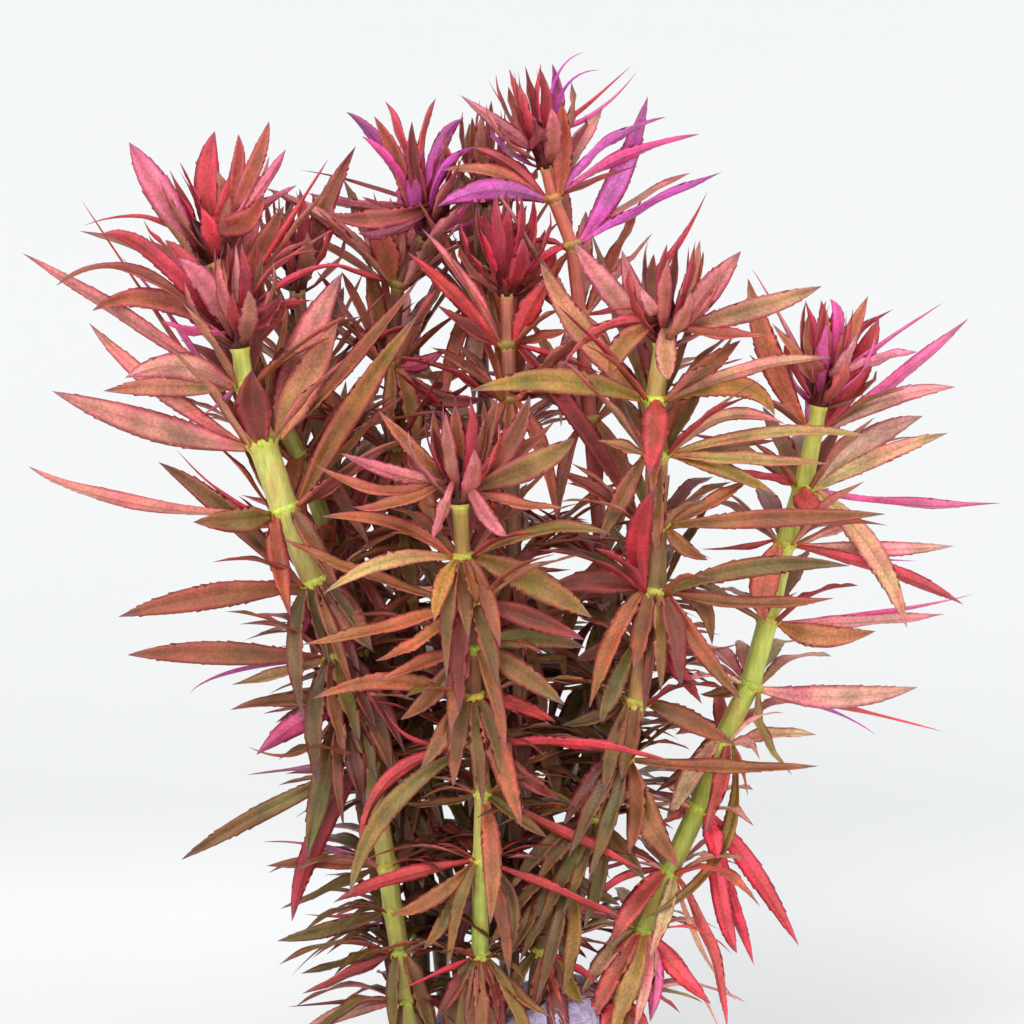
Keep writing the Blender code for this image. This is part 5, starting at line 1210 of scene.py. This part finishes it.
def addHeart(sheet, path, rows, chance, lightAndTint):
    axis, foot = stemAxis(path, path[0][1]), stemPlace(path, path[0][1])
    side, deep = besides(axis)
    addBud(sheet, foot - axis * heartLook["budSunk"], axis, side, deep)
    outerTones = heartLook["tones"] + "".join(row[6] for row in rows[:4])
    leanRange = heartLook["widest"] - heartLook["steepest"]
    lengthRange = heartLook["longest"] - heartLook["shortest"]
    for number in range(heartLook["leaves"]):
        share = number / (heartLook["leaves"] - 1)  # from the inmost leaf to the outermost
        bearing = math.radians(heartLook["bearing"] * number + heartLook["firstBearing"])
        lean = math.radians(heartLook["steepest"] + leanRange * share ** heartLook["leanCurve"])
        grown = math.sin(math.pi * min(1, 0.25 + 0.6 * share))
        length = heartLook["shortest"] + lengthRange * grown * pick(chance, *heartLook["lengths"])
        out = around(side, deep, bearing)
        base = foot + axis * (heartLook["highest"] - heartLook["drop"] * share)
        base += out * (heartLook["innermost"] + heartLook["spread"] * share)
        tip = base + length * around(axis, out, lean)
        middle = (base + tip) / 2 + out * (heartLook["bow"] + heartLook["outerBow"] * share) * length
        leaf = {"base": base, "middle": middle, "tip": tip, "turned": None,
                "width": heartLook["width"] * (heartLook["narrowest"] + heartLook["wider"] * share),
                "tone": "d" if share < heartLook["darkInner"] else chance.choice(outerTones)}
        addBlade(sheet, dress(leaf, chance, lightAndTint), chance, heartLook["keel"], True)


# Filler leaves: the rest of a whorl, between the leaves that its solid has

fillerLook = {
    "whole": 15, "wholeLow": 17, "thinLow": 0.85,
    "length": 0.95, "longest": 39 * mm, "lengths": (0.72, 0.45), "width": 4.8 * mm, "widths": (0.55, 0.65),
    "inGap": (0.36, 0.28), "openFront": -0.8, "rooted": 1 * mm, "steepest": 0.7,
    "tilts": 0.34, "level": 0.4, "behind": 0.34,
    "above": 0.34, "aboveFrom": 0.13, "aboveOver": 0.07, "aboveShare": (0.4, 0.8),  # heights in metres
    "middle": (0.5, 0.34, 0.5, 0.30), "tip": (0.95, 0.56, 1.4, 0.80),  # out, up, up by tilt, down by age
}
wholeAt = {  # whorls with fewer or more leaves in all
    "top": {198: 8, 245: 7, 315: 12, 420: 20}, "top_left": {285: 22, 365: 25}, "back_left": {380: 24},
    "left_back": {300: 17, 457: 20}, "back": {300: 20}, "centre": {345: 18, 400: 21},
    "centre_right": {400: 18, 455: 20},
}


def addFillers(sheet, shoot, hub, axis, reach, leaves, chance, whole, thin=1.0):
    if not leaves:
        return
    angles = sorted(math.atan2((leaf["tip"] - hub).y, (leaf["tip"] - hub).x) for leaf in leaves)
    usual = fillerLook["length"] * sum((leaf["tip"] - hub).length for leaf in leaves) / len(leaves)
    high = held((hub.z - fillerLook["aboveFrom"]) / fillerLook["aboveOver"])
    for _ in range(max(0, whole - len(leaves))):
        gaps = [((b - a) % math.tau or math.tau, a) for a, b in zip(angles, angles[1:] + angles[:1])]
        wide, start = max(gaps)
        bearing = start + wide * pick(chance, *fillerLook["inGap"])
        angles.append((bearing + math.pi) % math.tau - math.pi)
        angles.sort()
        if math.sin(bearing) < fillerLook["openFront"]:  # the leaves towards the front hang down instead
            continue
        flat = compass(bearing)
        length = min(fillerLook["longest"], usual) * pick(chance, *fillerLook["lengths"])
        rise = fillerLook["tilts"] * (chance.random() - fillerLook["level"])
        rise += fillerLook["behind"] * chance.random() * max(0, math.sin(bearing)) * (1 - ageAt(hub))
        rise += fillerLook["above"] * high * pick(chance, *fillerLook["aboveShare"])
        narrow = math.sqrt(1 - min(fillerLook["steepest"], max(0, rise)))
        middle, tip = [
            hub + length * (out * narrow * flat + Vector((0, 0, up + byTilt * rise - byAge * ageAt(hub))))
            for out, up, byTilt, byAge in (fillerLook["middle"], fillerLook["tip"])]
        leaf = {"base": hub + squareTo(axis, flat) * (reach - fillerLook["rooted"]), "middle": middle,
                "tip": tip, "width": fillerLook["width"] * pick(chance, *fillerLook["widths"]) * thin,
                "turned": None, "tone": chance.choice(spareTones(shoot, hub.z))}
        addBlade(sheet, dress(leaf, chance, tintAt(shoot, hub.z)), chance, solid["keel"], True)


# Leaves that hang down over a stem

drapeLook = {
    "spread": 62, "jitter": 14, "length": (21 * mm, 13 * mm), "floorGap": 3 * mm,
    "out": (0.2, 0.14), "outAside": 0.25, "width": (3.4 * mm, 2.6 * mm), "turned": (1, 0.93),
    "middle": (0.8, 0.36), "tip": (1.15, 0.92),  # out, down
}
drapes = {  # how many hang from some of the nodes
    "left_front": {510: 2, 582: 5, 655: 5, 705: 4, 951: 2, 1000: 2},
    "front": {557: 3, 603: 2, 647: 2, 696: 3, 860: 2, 956: 7},
    "centre_right": {400: 1, 455: 1, 590: 5, 701: 1, 757: 4, 816: 5, 871: 4, 950: 3},
    "right": {740: 2, 871: 2, 930: 5, 999: 4}, "centre": {400: 3, 560: 4, 630: 4, 700: 4, 775: 4, 850: 6},
    "top": {315: 2, 420: 3, 560: 4, 620: 4, 680: 3, 740: 3},
    "left_back": {457: 2, 550: 3, 650: 3, 725: 3, 800: 3, 865: 3},
    "top_left": {365: 3, 450: 4, 525: 4, 600: 4, 690: 4, 780: 3},
    "back_left": {380: 3, 480: 4, 550: 4, 620: 4, 710: 3, 800: 3},
    "back": {300: 3, 450: 4, 550: 4, 650: 4, 750: 4, 850: 3},
}


def addDrapes(sheet, shoot, down, hub, axis, reach, chance):
    count = drapes.get(shoot, {}).get(down, 0)
    for number in range(count):
        aside = drapeLook["spread"] * (2 * (number + 0.5) / count - 1)
        bearing = math.radians(-90 + aside + drapeLook["jitter"] * (chance.random() - 0.5))
        outward = squareTo(axis, compass(bearing))
        length = min(pick(chance, *drapeLook["length"]), hub.z - drapeLook["floorGap"])
        out = pick(chance, *drapeLook["out"]) + drapeLook["outAside"] * abs(math.cos(bearing))
        middle, tip = [hub + length * (share * out * outward - below * axis)
                       for share, below in (drapeLook["middle"], drapeLook["tip"])]
        leaf = {"base": hub + outward * (reach - fillerLook["rooted"]), "middle": middle, "tip": tip,
                "width": pick(chance, *drapeLook["width"]), "turned": drapeLook["turned"],
                "tone": chance.choice(spareTones(shoot, hub.z))}
        addBlade(sheet, dress(leaf, chance, tintAt(shoot, hub.z)), chance, solid["keel"], True)


# The shoots, one piece for each node

shootLook = {"firstSeed": 70, "rooted": 0.8 * mm}


def finished(sheet, name, material, node):
    piece = sheet.make(name, material)
    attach(piece, "root")
    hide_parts(node)
    return piece


def addSolidLeaves(sheet, shoot, tree, path, down, rows, bearings, reach, chance, heights=None):
    hub, axis = stemPlace(path, down), stemAxis(path, down)
    found = [seenLeaf(tree, hub + axis * height, axis, reach, row)
             for row, height in zip(rows, heights or [0] * len(rows))]
    found += [spareLeaf(tree, hub, axis, reach, bearing) for bearing in bearings]
    leaves = [leaf for leaf in found if leaf]
    for leaf in leaves:
        leaf["base"] = leaf["base"] + (hub - leaf["base"]).normalized() * shootLook["rooted"]
        addBlade(sheet, dress(leaf, chance, tintAt(shoot, hub.z), spareTones(shoot, hub.z)), chance)
    return hub, axis, leaves


def makeShoot(shoot, parts, chance):
    path, title = parts["stem"], shoot.replace("_", " ").title().replace(" ", "")
    title = title[0].lower() + title[1:]
    sheet, node, rows = Sheet(), shoot + "_crown", parts["crown"]
    heights = [solid["crownLowest"] + solid["crownRise"] * i / len(rows) for i in range(len(rows))]
    top, reach = path[0][1], solid["crownReach"]
    addSolidLeaves(sheet, shoot, tipsOf(node), path, top, rows, (), reach, chance, heights)
    addHeart(sheet, path, rows, chance, shootLightAndTint.get(shoot, noTint))
    finished(sheet, title + "Crown", crownMaterial, node)
    for number, (down, rows, bearings) in enumerate(parts["whorls"], start=1):
        sheet, node = Sheet(), f"{shoot}_whorl_{number}"
        tree, reach = tipsOf(node), stemRadius(path, down) + solid["gap"] + solid["collarWall"]
        whole = wholeAt.get(shoot, {}).get(down, fillerLook["whole"])
        hub, axis, leaves = addSolidLeaves(sheet, shoot, tree, path, down, rows, bearings, reach, chance)
        addFillers(sheet, shoot, hub, axis, reach, leaves, chance, whole)
        addDrapes(sheet, shoot, down, hub, axis, reach, chance)
        addCollar(sheet, shoot, path, down, chance)
        finished(sheet, f"{title}Whorl{number}", leafMaterial, node)
    sheet, node = Sheet(), shoot + "_stem"
    tree, whole, thin = tipsOf(node), fillerLook["wholeLow"], fillerLook["thinLow"]
    for down, rows, bearings in parts["low"]:
        radius = stemRadius(path, down)
        reach = radius + fillerLook["rooted"]
        hub, axis, leaves = addSolidLeaves(sheet, shoot, tree, path, down, rows, bearings, radius, chance)
        addFillers(sheet, shoot, hub, axis, reach, leaves, chance, whole, thin)
        addDrapes(sheet, shoot, down, hub, axis, reach, chance)
        addCollar(sheet, shoot, path, down, chance, collarLook["lowTall"], collarLook["lowReach"])
    finished(sheet, title + "LowLeaves", leafMaterial, node)
    stem = Sheet()
    addStem(stem, shoot, path, [path[0][1]] + [row[0] for row in parts["whorls"] + parts["low"]])
    finished(stem, title + "Stem", stemMaterial, node)


for number, (shoot, parts) in enumerate(shoots.items()):
    makeShoot(shoot, parts, random.Random(shootLook["firstSeed"] + number))
print("shoots made:", len(shoots))

# The rock wool plug

woolLook = {
    "across": 31 * mm, "deep": 27 * mm, "height": 33 * mm, "heightLeft": 22 * mm,
    "square": 0.55, "middleHeight": 0.5, "rounding": 0.72, "dent": 0.8 * mm,
    "segments": 160, "rings": 72, "lump": 0.9 * mm, "flatFoot": 2 * mm,
    "lumps": ((1, 150), (0.6, 420), (0.35, 1100)),  # shares, and how fine each is
    "fibres": 1400, "fibreLength": 7 * mm, "fibreLengths": (0.4, 0.8), "fibreSteps": 5,
    "fibreWidth": 0.16 * mm, "fibreWidths": (0.6, 0.8), "fibreLift": (0.2 * mm, 1.2 * mm),
    "fibreCurl": 1.6, "fibreClear": 0.1 * mm, "fibreLowest": 0.15 * mm, "fibresDownTo": 1.55,
}


def ballPoint(polar, angle):
    return math.sin(polar) * math.cos(angle), math.sin(polar) * math.sin(angle), math.cos(polar)


def woolPoint(x, y, z):  # the solid's own shape, from a point of the unit sphere
    angle, middle = math.atan2(y, x), max(math.hypot(x, y), 0.000001)
    ripple = 1 + 0.035 * math.sin(3 * angle + 0.6) + 0.03 * math.sin(7 * angle + 2 * z)
    outward = min(1, middle ** woolLook["square"]) * ripple / middle
    swell = max(0, min(1, (x + 0.55) / 0.8, (1 - x) / 0.45))
    top = woolLook["heightLeft"] + (woolLook["height"] - woolLook["heightLeft"]) * swell
    dent = woolLook["dent"] * math.sin(9 * x + 1) * math.sin(8 * y) * max(0, z)
    height = max(0, min(top, top * (woolLook["middleHeight"] + woolLook["rounding"] * z) + dent))
    return Vector((x * outward * woolLook["across"], y * outward * woolLook["deep"], height))


def addPlugBody(sheet):
    segments, rings, points = woolLook["segments"], woolLook["rings"], []
    for ring in range(1, rings):
        for k in range(segments):
            x, y, z = ballPoint(math.pi * ring / rings, math.tau * k / segments)
            point = woolPoint(x, y, z)
            out = Vector((x, y, max(z, 0) * 0.8)).normalized()
            lump = sum(share * noise.noise(point * fine) for share, fine in woolLook["lumps"])
            point += out * woolLook["lump"] * lump * min(1, point.z / woolLook["flatFoot"])
            point.z = max(0, point.z)
            points.append(point)
    top, bottom, last = len(points), len(points) + 1, (rings - 2) * segments
    points += [woolPoint(0, 0, 1), woolPoint(0, 0, -1)]
    faces = flipped(tubeFaces(rings - 1, segments))
    faces += [(k, (k + 1) % segments, top) for k in range(segments)]
    faces += [(last + (k + 1) % segments, last + k, bottom) for k in range(segments)]
    sheet.addPlain(points, faces, (0.4, 0.4, 0.4))


def addFibre(sheet, chance):
    polar = math.acos(1 - woolLook["fibresDownTo"] * chance.random())
    x, y, z = ballPoint(polar, math.tau * chance.random())
    start, out = woolPoint(x, y, z), Vector((x, y, z + 0.2)).normalized()
    heading = out.cross(Vector([chance.random() - 0.5 for _ in range(3)])).normalized()
    curl = heading.cross(out) * (chance.random() - 0.5)
    length = woolLook["fibreLength"] * pick(chance, *woolLook["fibreLengths"])
    least, more = woolLook["fibreLift"]
    lift = least + more * chance.random() ** 2
    width = woolLook["fibreWidth"] * pick(chance, *woolLook["fibreWidths"])
    points, steps = [], woolLook["fibreSteps"]
    for step in range(steps + 1):
        t = step / steps
        spot = start + heading * length * (t - 0.5) + curl * length * (t - 0.5) ** 2 * woolLook["fibreCurl"]
        spot += out * (lift * math.sin(math.pi * t) + woolLook["fibreClear"])
        spot.z = max(woolLook["fibreLowest"], spot.z)
        points += [spot + width / 2 * around(out, curl.normalized(), math.tau / 3 * k) for k in range(3)]
    faces = [(0, 2, 1), (steps * 3, steps * 3 + 1, steps * 3 + 2), *tubeFaces(steps + 1, 3)]
    sheet.addPlain(points, faces, (0.5, 0.5, 0.5))


plug, chance = Sheet(), random.Random(9)
addPlugBody(plug)
for _ in range(woolLook["fibres"]):
    addFibre(plug, chance)
finished(plug, "rockWoolPlug", woolMaterial, "rock_wool_plug")
print("plug made")

# Floor, light and camera

studioLook = {
    "floorColour": (0.8, 0.81, 0.805, 1), "wallColour": (0.67, 0.683, 0.675, 1), "blendHeight": 0.03,
    "front": -2.4, "floorDepth": 0.2, "bend": 0.3, "bendSteps": 8, "halfWidth": 2.6, "rise": 2.6,
    "below": 0.2 * mm, "grainScale": 900.0, "roughness": (0.3, 0.7, 0.85, 0.95),
    "worldColour": (0.96, 0.965, 1.0, 1), "worldStrength": 1.06,
    "lightsAimAt": (0, 0, 0.15), "clip": (0.05, 20),
}
lights = {  # place, width in metres, power in watts and colour
    "keyLight": ((-1.2, -3.4, 3.0), 2.0, 80, (1.0, 0.98, 0.96)),
    "fillLight": ((2.6, -3.4, 1.4), 2.2, 30, (0.98, 0.98, 1.0)),
}


def makePaper():
    material, tree, shader = newMaterial("palePaper", 0.0)
    grain = wire(tree, "ShaderNodeTexNoise", {
        "Scale": studioLook["grainScale"], "Detail": 2.0}).outputs["Fac"]
    rising = between(tree, axesOf(tree, objectPlace(tree))["Z"], 0.0, studioLook["blendHeight"])
    colour = blend(tree, rising, studioLook["floorColour"], studioLook["wallColour"])
    tree.links.new(colour, shader.inputs["Base Color"])
    tree.links.new(between(tree, grain, *studioLook["roughness"]), shader.inputs["Roughness"])
    paper = wire(tree, "ShaderNodeMixShader", {  # its back is clear, so that it doesn't hide the plant
        0: tree.nodes.new("ShaderNodeNewGeometry").outputs["Backfacing"], 1: shader.outputs[0],
        2: tree.nodes.new("ShaderNodeBsdfTransparent").outputs[0]})
    tree.links.new(paper.outputs[0], tree.nodes["Material Output"].inputs["Surface"])
    return material


def makeStudio():
    depth, bend, steps = studioLook["floorDepth"], studioLook["bend"], studioLook["bendSteps"]
    line = [(studioLook["front"], 0.0), (depth, 0.0)]
    for step in range(1, steps + 1):
        turn = math.pi / 2 * step / steps
        line.append((depth + bend * math.sin(turn), bend * (1 - math.cos(turn))))
    line.append((depth + bend, studioLook["rise"]))
    points = [(side * studioLook["halfWidth"], y, z - studioLook["below"])
              for y, z in line for side in (-1, 1)]
    faces = [(2 * i, 2 * i + 1, 2 * i + 3, 2 * i + 2) for i in range(len(line) - 1)]
    mesh = bpy.data.meshes.new("studioFloor")
    mesh.from_pydata(points, [], faces)
    mesh.polygons.foreach_set("use_smooth", [True] * len(faces))
    mesh.materials.append(makePaper())
    floor = bpy.data.objects.new("studioFloor", mesh)
    bpy.context.scene.collection.objects.link(floor)


def addLight(name, position, size, power, colour):
    data = bpy.data.lights.new(name, "AREA")
    data.shape, data.size, data.energy, data.color = "DISK", size, power, colour
    light = bpy.data.objects.new(name, data)
    light.location = position
    aim = Vector(studioLook["lightsAimAt"]) - Vector(position)
    light.rotation_euler = aim.to_track_quat("-Z", "Y").to_euler()
    bpy.context.scene.collection.objects.link(light)


makeStudio()
for name, values in lights.items():
    addLight(name, *values)
world = bpy.data.worlds.new("softRoom")
bpy.context.scene.world = world
world.use_nodes = True
background = world.node_tree.nodes["Background"].inputs
background["Color"].default_value = studioLook["worldColour"]
background["Strength"].default_value = studioLook["worldStrength"]

camera = bpy.data.objects.new("frontCamera", bpy.data.cameras.new("frontCamera"))
bpy.context.scene.collection.objects.link(camera)
camera.location = Vector((0, 0, view["middleHeight"])) - backward * view["distance"]
camera.rotation_euler = (math.pi / 2 - view["tilt"], 0, 0)
camera.data.sensor_width = view["sensor"]
camera.data.lens = view["sensor"] * view["distance"] / view["frameWidth"]
camera.data.clip_start, camera.data.clip_end = studioLook["clip"]
bpy.context.scene.camera = camera
bpy.context.scene.view_settings.view_transform = "Standard"
print("floor, lights and camera made")
